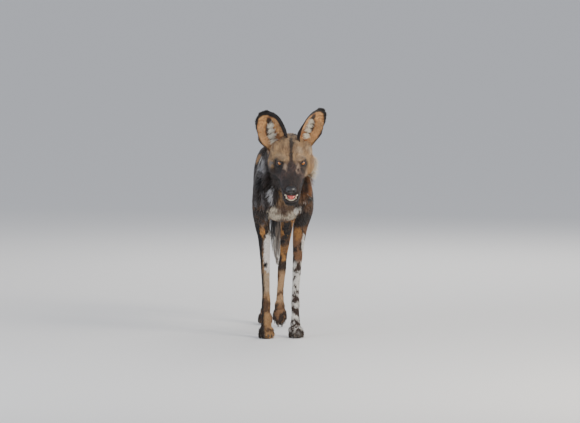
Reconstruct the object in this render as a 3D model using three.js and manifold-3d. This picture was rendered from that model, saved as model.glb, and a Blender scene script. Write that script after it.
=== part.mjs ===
// African wild dog, life size, walking towards the viewer with one hind foot on its toes.
// Millimetres, +Z up. The animal faces -Y, its right side is at -X.
// The sizes are worked out in a frame whose origin is on the ground midway between the forefeet.
// At the end the group is moved so that its own origin is the centre of its footprint.
import * as THREE from "three";
import { mergeVertices } from "three/addons/utils/BufferGeometryUtils.js";
import Module from "manifold-3d";

const wasm = await Module();
wasm.setup();

// Driving sizes
const SHOULDER_HEIGHT = 662;
const BRISKET_HEIGHT = 380;
const TRUNK_FRONT = -88;
const TRUNK_BACK = 606;
const CHEST_HALF_WIDTH = 96;
const CHEST_OFFSET = 6;
const HIP_HALF_WIDTH = 66;
const HEAD_PITCH = 32;
const HEAD_YAW = -2.5;
const HEAD_ORIGIN = [25, -208, 637];
const JAW_OPENING = 19;
const JAW_HINGE = [0, -58, -38];
const EYE_RADIUS = 11.5;
const EYE_PLACE = [38, -90, 13];
const EAR_LENGTH = 124;
const EAR_HALF_WIDTH = 48;
const CARPUS_HEIGHT = 114;
const PAW_JOIN_HEIGHT = 44;
const GAP = 0.3;

// Small maths helpers
const rad = (degrees) => (degrees * Math.PI) / 180;
const mix = (a, b, t) => a + (b - a) * t;
const vec = (p) => new THREE.Vector3(...p);

// One number along a row of stations, by a Catmull-Rom spline, at a share t of the row.
function along(values, t) {
  const place = t * (values.length - 1);
  const i = Math.min(Math.floor(place), values.length - 2);
  const u = place - i;
  const at = (k) => values[Math.max(0, Math.min(values.length - 1, k))];
  const [a, b, c, d] = [at(i - 1), at(i), at(i + 1), at(i + 2)];
  const cubic = 3 * b - a - 3 * c + d;
  return (2 * b + (c - a) * u + (2 * a - 5 * b + 4 * c - d) * u ** 2 + cubic * u ** 3) / 2;
}

// A seeded draw from 0 to 1, so that every build is alike.
function draws(seed) {
  let state = seed;
  return () => {
    state = (state * 1664525 + 1013904223) % 4294967296;
    return state / 4294967296;
  };
}

// Solids
function solid(geometry) {
  const bare = geometry.index ? geometry.toNonIndexed() : geometry.clone();
  const merged = mergeVertices(
    new THREE.BufferGeometry().setAttribute("position", bare.getAttribute("position")),
    1e-4,
  );
  const mesh = new wasm.Mesh({
    numProp: 3,
    vertProperties: new Float32Array(merged.attributes.position.array),
    triVerts: new Uint32Array(merged.index.array),
  });
  const made = new wasm.Manifold(mesh);
  return made;
}

function turnedOut(positions, faces) {
  let volume = 0;
  for (const [a, b, c] of faces) {
    volume += vec(positions[a]).dot(vec(positions[b]).cross(vec(positions[c])));
  }
  return volume < 0 ? faces.map(([a, b, c]) => [a, c, b]) : faces;
}

function solidFrom(positions, faces) {
  const geometry = new THREE.BufferGeometry();
  const outward = turnedOut(positions, faces);
  geometry.setAttribute("position", new THREE.Float32BufferAttribute(positions.flat(), 3));
  geometry.setIndex(outward.flat());
  return solid(geometry);
}

const union = (...parts) => parts.flat().reduce((sum, part) => sum.add(part));

function largest(made) {
  const bodies = made.decompose();
  return bodies.reduce((best, body) => (body.volume() > best.volume() ? body : best));
}

// A loft through stations { p: centre, w: half width across, f: reach to the front or top,
// b: reach to the back or bottom, n: squareness, 2 for an ellipse, nf: squareness of the front or top
// half where it differs }. front is the way that f points.
// Rings stand square to the centre line, or to axis where one is given.
function loft(stations, { rings = 12, segments = 12, front = [0, 0, 1], axis = null, grow = 0 }) {
  const curve = new THREE.CatmullRomCurve3(stations.map((s) => vec(s.p)));
  const read = (key, t) => along(stations.map((s) => s[key] ?? s.n ?? 2), t);
  const ahead = vec(front);
  const course = vec(stations.at(-1).p).sub(vec(stations[0].p));
  const fixed = axis && vec(axis).multiplyScalar(Math.sign(course.dot(vec(axis))));
  const positions = [];
  const faces = [];
  for (let r = 0; r < rings; r += 1) {
    const t = r / (rings - 1);
    const centre = curve.getPoint(t);
    const tangent = fixed ?? curve.getTangent(t);
    const face = ahead.clone().addScaledVector(tangent, -ahead.dot(tangent)).normalize();
    const side = new THREE.Vector3().crossVectors(face, tangent).normalize();
    if (grow && r === 0) centre.addScaledVector(tangent, -grow);
    if (grow && r === rings - 1) centre.addScaledVector(tangent, grow);
    for (let k = 0; k < segments; k += 1) {
      const angle = (2 * Math.PI * k) / segments;
      const [c, s] = [Math.cos(angle), Math.sin(angle)];
      const reach = s >= 0 ? read("f", t) : read("b", t);
      const power = 2 / read(s >= 0 ? "nf" : "n", t);
      const across = Math.sign(c) * Math.abs(c) ** power * (read("w", t) + grow);
      const out = Math.sign(s) * Math.abs(s) ** power * (reach + grow);
      const point = centre.clone().addScaledVector(side, across).addScaledVector(face, out);
      positions.push(point.toArray());
    }
    if (r === 0 || r === rings - 1) positions.push(centre.toArray());
  }
  const ringStart = (r) => r * segments + (r > 0 ? 1 : 0);
  for (let r = 0; r < rings - 1; r += 1) {
    for (let k = 0; k < segments; k += 1) {
      const next = (k + 1) % segments;
      const [a, b] = [ringStart(r) + k, ringStart(r) + next];
      const [c, d] = [ringStart(r + 1) + next, ringStart(r + 1) + k];
      faces.push([a, b, c], [a, c, d]);
    }
  }
  const last = ringStart(rings - 1);
  for (let k = 0; k < segments; k += 1) {
    const next = (k + 1) % segments;
    faces.push([segments, next, k], [last + segments, last + k, last + next]);
  }
  return solidFrom(positions, faces);
}

function ball(centre, radii, { across = 16, down = 10, turn = [0, 0, 0], grow = 0 } = {}) {
  const shape = new THREE.SphereGeometry(1, across, down);
  shape.rotateX(Math.PI / 2);
  shape.scale(radii[0] + grow, radii[1] + grow, radii[2] + grow);
  shape.applyMatrix4(new THREE.Matrix4().makeRotationFromEuler(new THREE.Euler(...turn.map(rad))));
  shape.translate(...centre);
  return solid(shape);
}

function block(low, high) {
  const size = high.map((h, i) => h - low[i]);
  const shape = new THREE.BoxGeometry(...size);
  shape.translate(...low.map((l, i) => l + size[i] / 2));
  return solid(shape);
}

const mirrored = (points, side) => points.map((s) => ({ ...s, p: [s.p[0] * side, s.p[1], s.p[2]] }));

const ALONG_Y = [0, 1, 0];
const BELOW_GROUND = block([-400, -900, -60], [400, 1200, 0]);

// Materials
const coat = (color, roughness = 0.85) =>
  new THREE.MeshStandardMaterial({ color, roughness, metalness: 0, flatShading: true });
const MATERIALS = {
  dark: coat(0x2a2320),
  brown: coat(0x5c4030),
  tan: coat(0xb98d5e),
  pale: coat(0xd8cbb8),
  face: coat(0xb59a78),
  ear: coat(0x3a2c24),
  nose: coat(0x15130f, 0.35),
  eye: coat(0xb4611c, 0.1),
  mouth: coat(0xb5453f, 0.4),
};

const group = new THREE.Group();

function node(name, made, material) {
  const kept = largest(made).getMesh();
  const geometry = new THREE.BufferGeometry();
  const positions = new Float32Array(kept.numVert * 3);
  for (let i = 0; i < kept.numVert; i += 1) {
    positions.set(kept.vertProperties.subarray(i * kept.numProp, i * kept.numProp + 3), i * 3);
  }
  geometry.setAttribute("position", new THREE.BufferAttribute(positions, 3));
  geometry.setIndex(new THREE.BufferAttribute(kept.triVerts, 1));
  geometry.computeVertexNormals();
  const mesh = new THREE.Mesh(geometry, material);
  mesh.name = name;
  group.add(mesh);
}

// Trunk: deep chest, tucked-up waist, sloping croup, with a back that narrows like a roof.
// Each row is y, top, bottom, half width, offset to the left.
function trunk(grow = 0) {
  const rows = [
    [TRUNK_FRONT, 556, 462, 26, CHEST_OFFSET],
    [-74, 584, 430, 52, CHEST_OFFSET],
    [-45, 620, 398, 74, CHEST_OFFSET],
    [10, 650, BRISKET_HEIGHT + 3, 88, CHEST_OFFSET],
    [70, SHOULDER_HEIGHT, BRISKET_HEIGHT, CHEST_HALF_WIDTH, CHEST_OFFSET],
    [150, 652, 386, 95, 5],
    [240, 642, 404, 88, 3],
    [330, 636, 434, 77, 1],
    [410, 634, 463, 66, 0],
    [490, 630, 474, HIP_HALF_WIDTH, 0],
    [555, 614, 488, 58, 0],
    [592, 592, 508, 42, 0],
    [TRUNK_BACK, 576, 535, 20, 0],
  ];
  const stations = rows.map(([y, top, bottom, w, x]) => {
    const middle = mix(bottom, top, 0.35);
    return { p: [x, y, middle], w, f: top - middle, b: middle - bottom, n: 2.15, nf: 1.5 };
  });
  return loft(stations, { rings: 20, segments: 20, axis: ALONG_Y, grow });
}

// Head frame: muzzle to -Y, crown to +Z, set on the neck by pitch and yaw.
const headMatrix = new THREE.Matrix4()
  .makeTranslation(...HEAD_ORIGIN)
  .multiply(new THREE.Matrix4().makeRotationZ(rad(HEAD_YAW)))
  .multiply(new THREE.Matrix4().makeRotationX(rad(HEAD_PITCH)));
const jawMatrix = new THREE.Matrix4()
  .makeTranslation(...JAW_HINGE)
  .multiply(new THREE.Matrix4().makeRotationX(rad(JAW_OPENING)))
  .multiply(new THREE.Matrix4().makeTranslation(...JAW_HINGE.map((v) => -v)));
const inHead = (made) => made.transform(headMatrix.elements);
const inJaw = (made) => made.transform(jawMatrix.elements);

// Skull and upper muzzle. Each row is y, top, bottom, half width, squareness.
function skull(grow = 0) {
  const rows = [
    [34, 30, -48, 34, 2.0],
    [20, 46, -64, 52, 2.1],
    [-12, 55, -70, 63, 2.2],
    [-45, 54, -70, 66, 2.2],
    [-72, 45, -66, 62, 2.3],
    [-95, 30, -58, 50, 2.4],
    [-118, 20, -50, 40, 2.5],
    [-145, 12, -47, 35, 2.5],
    [-172, 4, -46, 31, 2.4],
    [-192, -3, -45, 27, 2.3],
    [-203, -10, -42, 19, 2.1],
  ];
  const stations = rows.map(([y, top, bottom, w, n]) => {
    const middle = mix(bottom, top, 0.42);
    return { p: [0, y, middle], w, f: top - middle, b: middle - bottom, n };
  });
  return loft(stations, { rings: 16, segments: 18, axis: ALONG_Y, grow });
}

function headForms(grow = 0) {
  const forms = [skull(grow)];
  for (const side of [-1, 1]) {
    forms.push(
      ball([side * 51, -40, -18], [25, 48, 40], { turn: [0, 0, side * 9], across: 10, down: 7, grow }),
      ball([side * 47, -26, 14], [23, 38, 32], { across: 10, down: 7, grow }),
      ball([side * 32, -85, 26], [20, 16, 10], { turn: [0, side * 16, side * 24], across: 8, down: 6, grow }),
      ball([side * 19, -172, -31], [15.5, 28, 16], { across: 10, down: 7, grow }),
    );
  }
  return union(forms);
}

// Upper and lower lids: two curved rolls round each eyeball.
function lids(side) {
  const [ex, ey, ez] = EYE_PLACE;
  const rolls = [];
  for (const [tilt, thick] of [[1, 3.6], [-1, 3.0]]) {
    const stations = [];
    for (let i = 0; i <= 6; i += 1) {
      const turn = mix(-78, 78, i / 6);
      const reach = EYE_RADIUS + 0.6;
      const lift = tilt * Math.cos(rad(turn)) * 7.2;
      stations.push({
        p: [
          side * (ex + 2 + Math.sin(rad(turn)) * reach),
          ey - Math.cos(rad(turn)) * reach * 0.78 + Math.sin(rad(turn)) * 5,
          ez + lift - Math.sin(rad(turn)) * -1.5,
        ],
        w: thick,
        f: thick,
        b: thick,
      });
    }
    rolls.push(loft(stations, { rings: 7, segments: 5, front: [0, 0, 1] }));
  }
  return union(rolls);
}

const eyeball = (side, grow = 0) => {
  const [ex, ey, ez] = EYE_PLACE;
  const size = EYE_RADIUS + grow;
  return ball([side * ex, ey, ez], [size, size, size], { across: 12, down: 8 });
};

// A row of pointed teeth along the arch of a jaw; up is 1 for the lower row and -1 for the upper.
function teeth(arch, up, { canineHeight, level, grow = 0 }) {
  const row = [];
  const peg = (x, y, base, height, radius) =>
    loft(
      [
        { p: [x, y, level - up * 5], w: radius, f: radius, b: radius },
        { p: [x, y, level + up * height * 0.45], w: radius * 0.85, f: radius * 0.85, b: radius * 0.85 },
        { p: [x, y - 1, level + up * height], w: radius * 0.22, f: radius * 0.22, b: radius * 0.22 },
      ],
      { rings: 3, segments: 5, front: [0, 1, 0], grow },
    );
  for (const side of [-1, 1]) {
    for (const i of [0, 1, 2]) {
      row.push(peg(side * (3 + i * 5.2), arch.front + i * i * 1.2, level, 5.5, 2.9));
    }
    row.push(peg(side * arch.canine, arch.front + 9, level, canineHeight, 4.2));
    for (const i of [0, 1, 2]) {
      row.push(peg(side * (arch.canine + 3 + i * 2.2), arch.front + 25 + i * 15, level, 7.5, 4.6));
    }
  }
  return row;
}

// Lower jaw, modelled shut and then opened about its hinge.
function jawBody(grow = 0) {
  const rows = [
    [-34, -44, -80, 44],
    [-62, -47, -85, 45],
    [-86, -49, -84, 41],
    [-110, -52, -80, 35],
    [-138, -53, -77, 31],
    [-160, -53, -75, 27],
    [-176, -54, -72, 21],
    [-183, -57, -68, 12],
  ];
  const stations = rows.map(([y, top, bottom, w]) => {
    const middle = mix(bottom, top, 0.6);
    return { p: [0, y, middle], w, f: top - middle, b: middle - bottom, n: 2.6 };
  });
  return loft(stations, { rings: 11, segments: 14, axis: ALONG_Y, grow });
}

function jawHollow(grow = 0) {
  const rows = [
    [-50, -30, 30],
    [-84, -30, 30],
    [-112, -30, 26],
    [-140, -30, 22],
    [-160, -30, 17],
    [-171, -30, 10],
  ];
  const stations = rows.map(([y, middle, w]) => ({ p: [0, y, middle], w, f: 12, b: 35, n: 3 }));
  return loft(stations, { rings: 8, segments: 12, axis: ALONG_Y, grow });
}

function tongueBody() {
  const stations = [
    { p: [0, -68, -58], w: 16, f: 6, b: 8 },
    { p: [0, -90, -56], w: 18, f: 7, b: 9 },
    { p: [0, -118, -54], w: 16, f: 7, b: 9 },
    { p: [0, -144, -54], w: 13, f: 6, b: 8 },
    { p: [0, -158, -56], w: 9, f: 4, b: 6 },
    { p: [0, -164, -58], w: 5, f: 2.5, b: 4 },
  ];
  return loft(stations, { rings: 9, segments: 12 });
}

// Nose pad with its two nostrils.
function nosePad(grow = 0) {
  return union([
    ball([0, -199, -15], [17, 14.5, 11], { across: 14, down: 8, grow }),
    ball([-9, -203, -19], [8.7, 8.6, 7.6], { across: 10, down: 6, grow }),
    ball([9, -203, -19], [8.7, 8.6, 7.6], { across: 10, down: 6, grow }),
    ball([0, -205, -25], [4.2, 6.8, 8], { across: 8, down: 5, grow }),
  ]);
}

function nostrils() {
  return union([-1, 1].flatMap((side) => [
    ball([side * 8.2, -212.5, -17.5], [4.2, 6, 3.6], { across: 8, down: 5 }),
    ball([side * 13.2, -209, -20], [4.8, 5, 1.7], { turn: [0, side * 24, side * 28], across: 6, down: 4 }),
  ]));
}

// Ear: a round cup, thin at the rim, that opens to the front. Each row of points, from root to tip,
// is a closed ring: across the inside, then back across the outside.
const EAR_OUTLINE = [0.62, 0.8, 0.93, 1.0, 1.0, 0.98, 0.89, 0.7, 0.32];
const EAR_ROOT_DROP = 14;
const EAR_CUP = [86, 80, 70, 60, 52, 46, 40, 34, 28];
const EAR_THICKNESS = [5.5, 4.4, 3.4, 2.8, 2.5, 2.3, 2.2, 2.0, 1.8];

function earPoint(t, v, outside) {
  const cup = rad(along(EAR_CUP, t));
  const radius = (EAR_HALF_WIDTH * along(EAR_OUTLINE, t)) / Math.sin(cup);
  const thickness = outside ? along(EAR_THICKNESS, t) * (1 - 0.45 * Math.abs(v) ** 3) : 0;
  const lobe = v > 0 ? 7 * Math.exp(-(((t - 0.3) / 0.12) ** 2)) * v ** 4 : 0;
  const drop = EAR_ROOT_DROP * Math.max(v, 0) * (1 - t) ** 4;
  const height = EAR_LENGTH * t + 6 * v * v * (1 - t) - 10 * (1 - t) * v ** 4 - drop;
  const r = radius + thickness;
  return [Math.sin(v * cup) * r + lobe, r * Math.cos(v * cup) - radius * Math.cos(cup), height];
}

function ear(side, { turn, lean, back, base, rise }) {
  const ROWS = 10;
  const COLUMNS = 8;
  const ringSize = 2 * (COLUMNS + 1);
  const positions = [];
  const faces = [];
  for (let i = 0; i <= ROWS; i += 1) {
    for (let k = 0; k < ringSize; k += 1) {
      const outside = k > COLUMNS;
      const j = outside ? ringSize - 1 - k : k;
      positions.push(earPoint(i / ROWS, (2 * j) / COLUMNS - 1, outside));
    }
  }
  const at = (i, k) => i * ringSize + (k % ringSize);
  for (let i = 0; i < ROWS; i += 1) {
    for (let k = 0; k < ringSize; k += 1) {
      faces.push([at(i, k), at(i, k + 1), at(i + 1, k + 1)], [at(i, k), at(i + 1, k + 1), at(i + 1, k)]);
    }
  }
  for (let j = 0; j < COLUMNS; j += 1) {
    const [a, b, c, d] = [j, j + 1, ringSize - 2 - j, ringSize - 1 - j];
    faces.push([at(0, b), at(0, a), at(0, d)], [at(0, b), at(0, d), at(0, c)]);
    faces.push([at(ROWS, a), at(ROWS, b), at(ROWS, c)], [at(ROWS, a), at(ROWS, c), at(ROWS, d)]);
  }
  const place = new THREE.Matrix4()
    .makeTranslation(side * base, -4, rise)
    .multiply(new THREE.Matrix4().makeRotationY(rad(side * lean)))
    .multiply(new THREE.Matrix4().makeRotationX(rad(-back)))
    .multiply(new THREE.Matrix4().makeRotationZ(rad(side * turn)))
    .multiply(new THREE.Matrix4().makeScale(side, 1, 1));
  const placed = positions.map((p) => vec(p).applyMatrix4(place).toArray());
  return solidFrom(placed, faces);
}

// Neck
const neckStations = [
  { p: [5, 70, 556], w: 62, f: 84, b: 100, n: 2.1, nf: 1.6 },
  { p: [6, 0, 572], w: 74, f: 80, b: 112, n: 2.1, nf: 1.75 },
  { p: [11, -60, 590], w: 73, f: 75, b: 102, n: 2.1, nf: 1.9 },
  { p: [17, -120, 610], w: 69, f: 71, b: 90, n: 2.1 },
  { p: [23, -172, 626], w: 66, f: 66, b: 78, n: 2.1 },
  { p: [25, -205, 630], w: 48, f: 52, b: 60, n: 2.1 },
];
const neck = (grow = 0) => loft(neckStations, { rings: 11, segments: 16, grow });

// Forelegs. Each row is x, y, z of the centre, half width, reach forward, reach back.
const asStations = (rows) => rows.map(([x, y, z, w, f, b]) => ({ p: [x, y, z], w, f, b, n: 2.1 }));

function forelegRows(footX, footY, elbowX, shoulderX) {
  return [
    [shoulderX - 34, 62, 628, 13, 20, 22],
    [shoulderX - 23, 44, 594, 19, 38, 42],
    [shoulderX - 10, 22, 545, 27, 56, 56],
    [shoulderX, -2, 478, 30, 62, 62],
    [shoulderX + 2, 2, 425, 29, 50, 58],
    [elbowX + 6, 14, 375, 26, 34, 44],
    [elbowX, 10, 335, 23, 27, 30],
    [mix(elbowX, footX, 0.35), mix(6, footY, 0.3), 280, 18.5, 20, 20],
    [mix(elbowX, footX, 0.7), mix(2, footY, 0.6), 210, 15.5, 16, 16],
    [mix(elbowX, footX, 0.95), mix(0, footY, 0.9), 150, 14, 13.5, 14],
    [footX, footY, CARPUS_HEIGHT, 16.5, 15, 15.5],
    [footX, footY - 1, 84, 15, 12.5, 13],
    [footX, footY - 5, PAW_JOIN_HEIGHT + 10, 16.5, 14, 13],
    [footX, footY - 6, PAW_JOIN_HEIGHT - 6, 17, 15, 14],
  ];
}

// A paw with four toes, their claws and the large pad, in its own frame: the leg comes in along Z
// at joinHeight, and the toes point to -Y. bend turns all below the knuckles toe down.
function paw({ spread = 1, reach = 1, bend = 0 }) {
  const top = PAW_JOIN_HEIGHT;
  const pivot = top - 14;
  const wrist = loft(
    [
      { p: [0, 3, top + 8], w: 15.5, f: 13.5, b: 13 },
      { p: [0, 1, top - 4], w: 17, f: 15, b: 14 },
      { p: [0, -1, pivot - 4], w: 17, f: 15, b: 14 },
      { p: [0, -1, pivot - 11], w: 9, f: 8, b: 8 },
    ],
    { rings: 4, segments: 9, front: [0, -1, 0] },
  );
  const pieces = [
    ball([0, -8, 20], [19, 17, 14], { across: 6, down: 4 }),
    ball([0, -6, 8], [17, 15, 10], { across: 6, down: 4 }),
  ];
  for (const [offset, ahead, size] of [[-20, 30, 0.92], [-7.6, 43, 1], [7.6, 43, 1], [20, 30, 0.92]]) {
    const x = offset * spread;
    const y = -ahead * reach;
    pieces.push(
      loft(
        [
          { p: [x * 0.55, y * 0.1, top - 14], w: 8 * size, f: 8 * size, b: 8 * size },
          { p: [x * 0.85, y * 0.55, top - 17], w: 9.6 * size, f: 9.5 * size, b: 10 * size },
          { p: [x, y * 0.92, 17], w: 9.8 * size, f: 9 * size, b: 10 * size },
          { p: [x * 1.04, y * 1.2, 9.5], w: 8.6 * size, f: 7 * size, b: 10 * size },
          { p: [x * 1.06, y * 1.36, 7], w: 4.5 * size, f: 4 * size, b: 6 * size },
        ],
        { rings: 5, segments: 6, front: [0, 0, 1] },
      ),
      loft(
        [
          { p: [x * 1.05, y * 1.24, 12], w: 3, f: 3.4, b: 3 },
          { p: [x * 1.07, y * 1.45 - 1, 10.5], w: 2.5, f: 2.8, b: 2.5 },
          { p: [x * 1.08, y * 1.45 - 9, 4.5], w: 0.9, f: 0.9, b: 0.9 },
        ],
        { rings: 3, segments: 4, front: [0, 0, 1] },
      ),
    );
  }
  const bent = new THREE.Matrix4()
    .makeTranslation(0, 0, pivot)
    .multiply(new THREE.Matrix4().makeRotationX(rad(bend)))
    .multiply(new THREE.Matrix4().makeTranslation(0, 0, -pivot));
  return union(wrist, union(pieces).transform(bent.elements));
}

// The frame of a paw: where its leg's line meets the ground, the way its toes point, and its tip back.
const pawFrame = ({ at, turn = 0, tip = 0 }) =>
  new THREE.Matrix4()
    .makeTranslation(...at)
    .multiply(new THREE.Matrix4().makeRotationZ(rad(turn)))
    .multiply(new THREE.Matrix4().makeRotationX(rad(tip)));

// Hind legs. Each row is x, y, z of the centre, half width, reach forward, reach back.
const PLANTED_HIND = [
  [21, 515, 594, 21, 34, 32],
  [33, 510, 566, 27, 58, 54],
  [40, 498, 520, 31, 70, 68],
  [43, 482, 455, 30, 62, 68],
  [42, 474, 395, 27, 46, 56],
  [39, 494, 335, 23, 34, 42],
  [35, 522, 275, 18.5, 24, 26],
  [31, 548, 218, 14.5, 16, 20],
  [30, 560, 178, 16, 17, 19],
  [30, 561, 138, 13.5, 13, 14],
  [30, 558, 92, 13, 12, 12.5],
  [30, 553, PAW_JOIN_HEIGHT + 10, 15, 13, 13],
  [30, 551, PAW_JOIN_HEIGHT - 6, 17, 15, 14],
];
const LIFTED_HIND = [
  [21, 515, 594, 21, 34, 32],
  [33, 506, 566, 27, 58, 56],
  [40, 482, 520, 31, 68, 70],
  [43, 455, 462, 30, 58, 68],
  [43, 440, 405, 27, 46, 56],
  [40, 452, 350, 23, 34, 42],
  [35, 472, 292, 18.5, 24, 27],
  [29, 488, 235, 14.5, 16, 20],
  [24, 490, 190, 16, 17, 19],
  [20, 470, 152, 13.5, 13, 14],
  [16, 446, 112, 13, 12, 12.5],
  [14.5, 428, 86, 15, 13, 13],
  [14, 420, 68, 17, 15, 14],
];
// Tail: a slim root and a full brush that hangs to the hocks.
const TAIL_PATH = [
  [0, 575, 584],
  [3, 620, 568],
  [10, 655, 516],
  [18, 668, 452],
  [23, 670, 386],
  [24, 666, 310],
  [24, 660, 240],
  [24, 655, 190],
];
const TAIL_CORE = [25, 22, 19, 17, 16, 15, 12, 4];
const BRUSH_REACH = [0, 0, 20, 26, 33, 35, 29, 8];

function tailLoft(radii, first, last, grow = 0) {
  const stations = TAIL_PATH.slice(first, last + 1).map((p, i) => {
    const r = radii[first + i];
    return { p, w: r, f: r * 0.95, b: r };
  });
  return loft(stations, { rings: 3 * (last - first) + 1, segments: 11, front: [0, 1, 0.2], grow });
}

// A flat lock of hair: sunk in at its root, widest near the middle, bent towards bow, tapered to its tip.
function lock({ root, tip, bow, width, thickness = 0.34 }) {
  const [start, end, arch] = [vec(root), vec(tip), vec(bow)];
  const shape = [[0, 0.75, 0], [0.36, 1, 1], [0.72, 0.72, 0.75], [1, 0.1, 0]];
  const stations = shape.map(([t, broad, bent]) => {
    const p = start.clone().lerp(end, t).addScaledVector(arch, bent).toArray();
    const w = width * broad;
    return { p, w, f: w * thickness, b: w * thickness };
  });
  return loft(stations, { rings: 4, segments: 4, front: bow });
}

// The brush: locks wound round the core of the tail, each hanging over the roots of those below.
function brushLocks() {
  const COUNT = 22;
  const FIRST = 0.445;
  const LAST = 0.87;
  const GOLDEN_ANGLE = 137.5;
  const draw = draws(11);
  const curve = new THREE.CatmullRomCurve3(TAIL_PATH.map(vec));
  return Array.from({ length: COUNT }, (unused, i) => {
    const from = mix(FIRST, LAST, i / (COUNT - 1));
    const to = Math.min(1, from + mix(0.16, 0.22, draw()));
    const angle = rad(i * GOLDEN_ANGLE + 20 * draw());
    const out = new THREE.Vector3(Math.cos(angle), Math.sin(angle), 0);
    const reach = along(BRUSH_REACH, to) * mix(0.85, 1.05, draw());
    const root = curve.getPoint(from).addScaledVector(out, along(TAIL_CORE, from) - 7);
    const tip = curve.getPoint(to).addScaledVector(out, reach);
    const bow = out.clone().multiplyScalar(mix(6, 10, draw()));
    return lock({ root: root.toArray(), tip: tip.toArray(), bow: bow.toArray(), width: mix(11, 14, draw()) });
  });
}

// The ruff: locks on both sides of the neck behind the cheeks. Each row is the side, the first and last
// root, and how far the tips lie from the roots.
const RUFF = [
  { count: 6, from: [80, -150, 600], to: [68, -92, 512], throwOut: [46, 34, -22], width: 14 },
  { count: 4, from: [66, -128, 560], to: [48, -78, 505], throwOut: [30, 26, -40], width: 14 },
  { count: 5, from: [-36, -150, 606], to: [-40, -90, 520], throwOut: [-26, 38, -26], width: 14 },
];

function ruffLocks() {
  const draw = draws(5);
  return RUFF.flatMap(({ count, from, to, throwOut, width }) =>
    Array.from({ length: count }, (unused, i) => {
      const stray = vec([0, 10 * (draw() - 0.5), 8 * (draw() - 0.5)]);
      const root = vec(from).lerp(vec(to), i / (count - 1)).add(stray);
      const tip = root.clone().addScaledVector(vec(throwOut), mix(0.8, 1.15, draw()));
      const bow = [Math.sign(throwOut[0]) * mix(4, 8, draw()), 0, mix(1, 4, draw())];
      return lock({ root: root.toArray(), tip: tip.toArray(), bow, width: width * mix(0.8, 1.1, draw()) });
    }),
  );
}

// The four limbs: side, the rows of the leg, and the frame and shape of the paw.
const LIMBS = {
  foreleg_right: {
    side: -1,
    rows: forelegRows(50, -14, 56, 64),
    frame: { at: [-50, -19, 0], turn: -2 },
    shape: { spread: 0.84 },
  },
  foreleg_left: {
    side: 1,
    rows: forelegRows(48, 4, 61, 75),
    frame: { at: [48, -1, 0], turn: 2 },
    shape: { spread: 0.84 },
  },
  hindleg_right: {
    side: -1,
    rows: PLANTED_HIND,
    frame: { at: [-30, 553, 0], turn: -3 },
    shape: { spread: 0.84 },
  },
  hindleg_left: {
    side: 1,
    rows: LIFTED_HIND,
    frame: { at: [14, 400, 40], turn: 2, tip: -32 },
    shape: { spread: 0.8, reach: 0.95, bend: 92 },
  },
};
const legSolid = ({ side, rows }, grow = 0) =>
  loft(mirrored(asStations(rows), side), { rings: 18, segments: 10, front: [0, -1, 0], grow });
const legCutters = Object.values(LIMBS).map((limb) => legSolid(limb, GAP));

const tailCutter = tailLoft(TAIL_CORE, 0, 3, GAP);
node("torso", trunk().subtract(union(legCutters)).subtract(tailCutter), MATERIALS.dark);

for (const [name, limb] of Object.entries(LIMBS)) {
  const frame = pawFrame(limb.frame).elements;
  const below = block([-80, -120, -80], [80, 120, PAW_JOIN_HEIGHT + GAP]).transform(frame);
  const above = block([-80, -80, PAW_JOIN_HEIGHT], [80, 80, PAW_JOIN_HEIGHT + 60]).transform(frame);
  const placed = paw(limb.shape).transform(frame).subtract(above);
  node(name, legSolid(limb).subtract(below), MATERIALS.brown);
  node(name.replace("leg", "paw"), placed.subtract(BELOW_GROUND), MATERIALS.tan);
}

// Tail, parted by a level cut where the brush begins.
const BRUSH_TOP = 462;
const belowBrushTop = block([-200, 400, -10], [200, 900, BRUSH_TOP + GAP]);
const aboveBrushTop = block([-200, 400, BRUSH_TOP], [200, 900, 900]);
node("tail_root", tailLoft(TAIL_CORE, 0, 4).subtract(belowBrushTop), MATERIALS.brown);
const brushCore = tailLoft(TAIL_CORE, 2, 7).subtract(aboveBrushTop);
node("tail_brush", union([brushCore, ...brushLocks()]), MATERIALS.pale);

// Neck
const headCutter = inHead(headForms(GAP).add(inJaw(jawBody(GAP))));
node(
  "neck",
  union([neck(), ...ruffLocks()]).subtract(trunk(GAP)).subtract(union(legCutters)).subtract(headCutter),
  MATERIALS.dark,
);

// Head, with its lids, upper lips and upper teeth, cut by the eyes and the nose.
function palate() {
  const rows = [[-92, 14], [-112, 27], [-140, 25], [-165, 21], [-182, 14], [-188, 7]];
  const stations = rows.map(([y, w]) => ({ p: [0, y, -50], w, f: 13, b: 20, n: 2.6 }));
  return loft(stations, { rings: 8, segments: 12, axis: ALONG_Y });
}

const upperArch = { front: -186, canine: 17 };
const lowerArch = { front: -172, canine: 15.5 };
const lowerRow = { canineHeight: 16, level: -54 };
const jawShell = (grow = 0) => inJaw(jawBody(grow).subtract(jawHollow(-grow)));
const eyesGrown = union([-1, 1].map((side) => eyeball(side, GAP)));
const headSolid = headForms()
  .add(union([-1, 1].map(lids)))
  .subtract(palate())
  .add(union(teeth(upperArch, -1, { canineHeight: 15, level: -42 })))
  .subtract(eyesGrown)
  .subtract(nosePad(GAP));
node("head", inHead(headSolid), MATERIALS.face);
const jawSolid = jawShell()
  .add(inJaw(union(teeth(lowerArch, 1, lowerRow))))
  .subtract(headForms(GAP).subtract(palate()));
node("lower_jaw", inHead(jawSolid), MATERIALS.dark);
const teethGrown = inJaw(union(teeth(lowerArch, 1, { ...lowerRow, grow: GAP })));
node(
  "tongue",
  inHead(inJaw(tongueBody()).subtract(jawShell(GAP)).subtract(teethGrown).subtract(headForms(GAP))),
  MATERIALS.mouth,
);
node("nose", inHead(nosePad().subtract(nostrils())), MATERIALS.nose);
for (const [name, side] of [["right", -1], ["left", 1]]) {
  node(`eye_${name}`, inHead(eyeball(side)), MATERIALS.eye);
}
const earSolid = (side, set) => inHead(ear(side, set).subtract(headForms(GAP))).subtract(neck(GAP));
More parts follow.
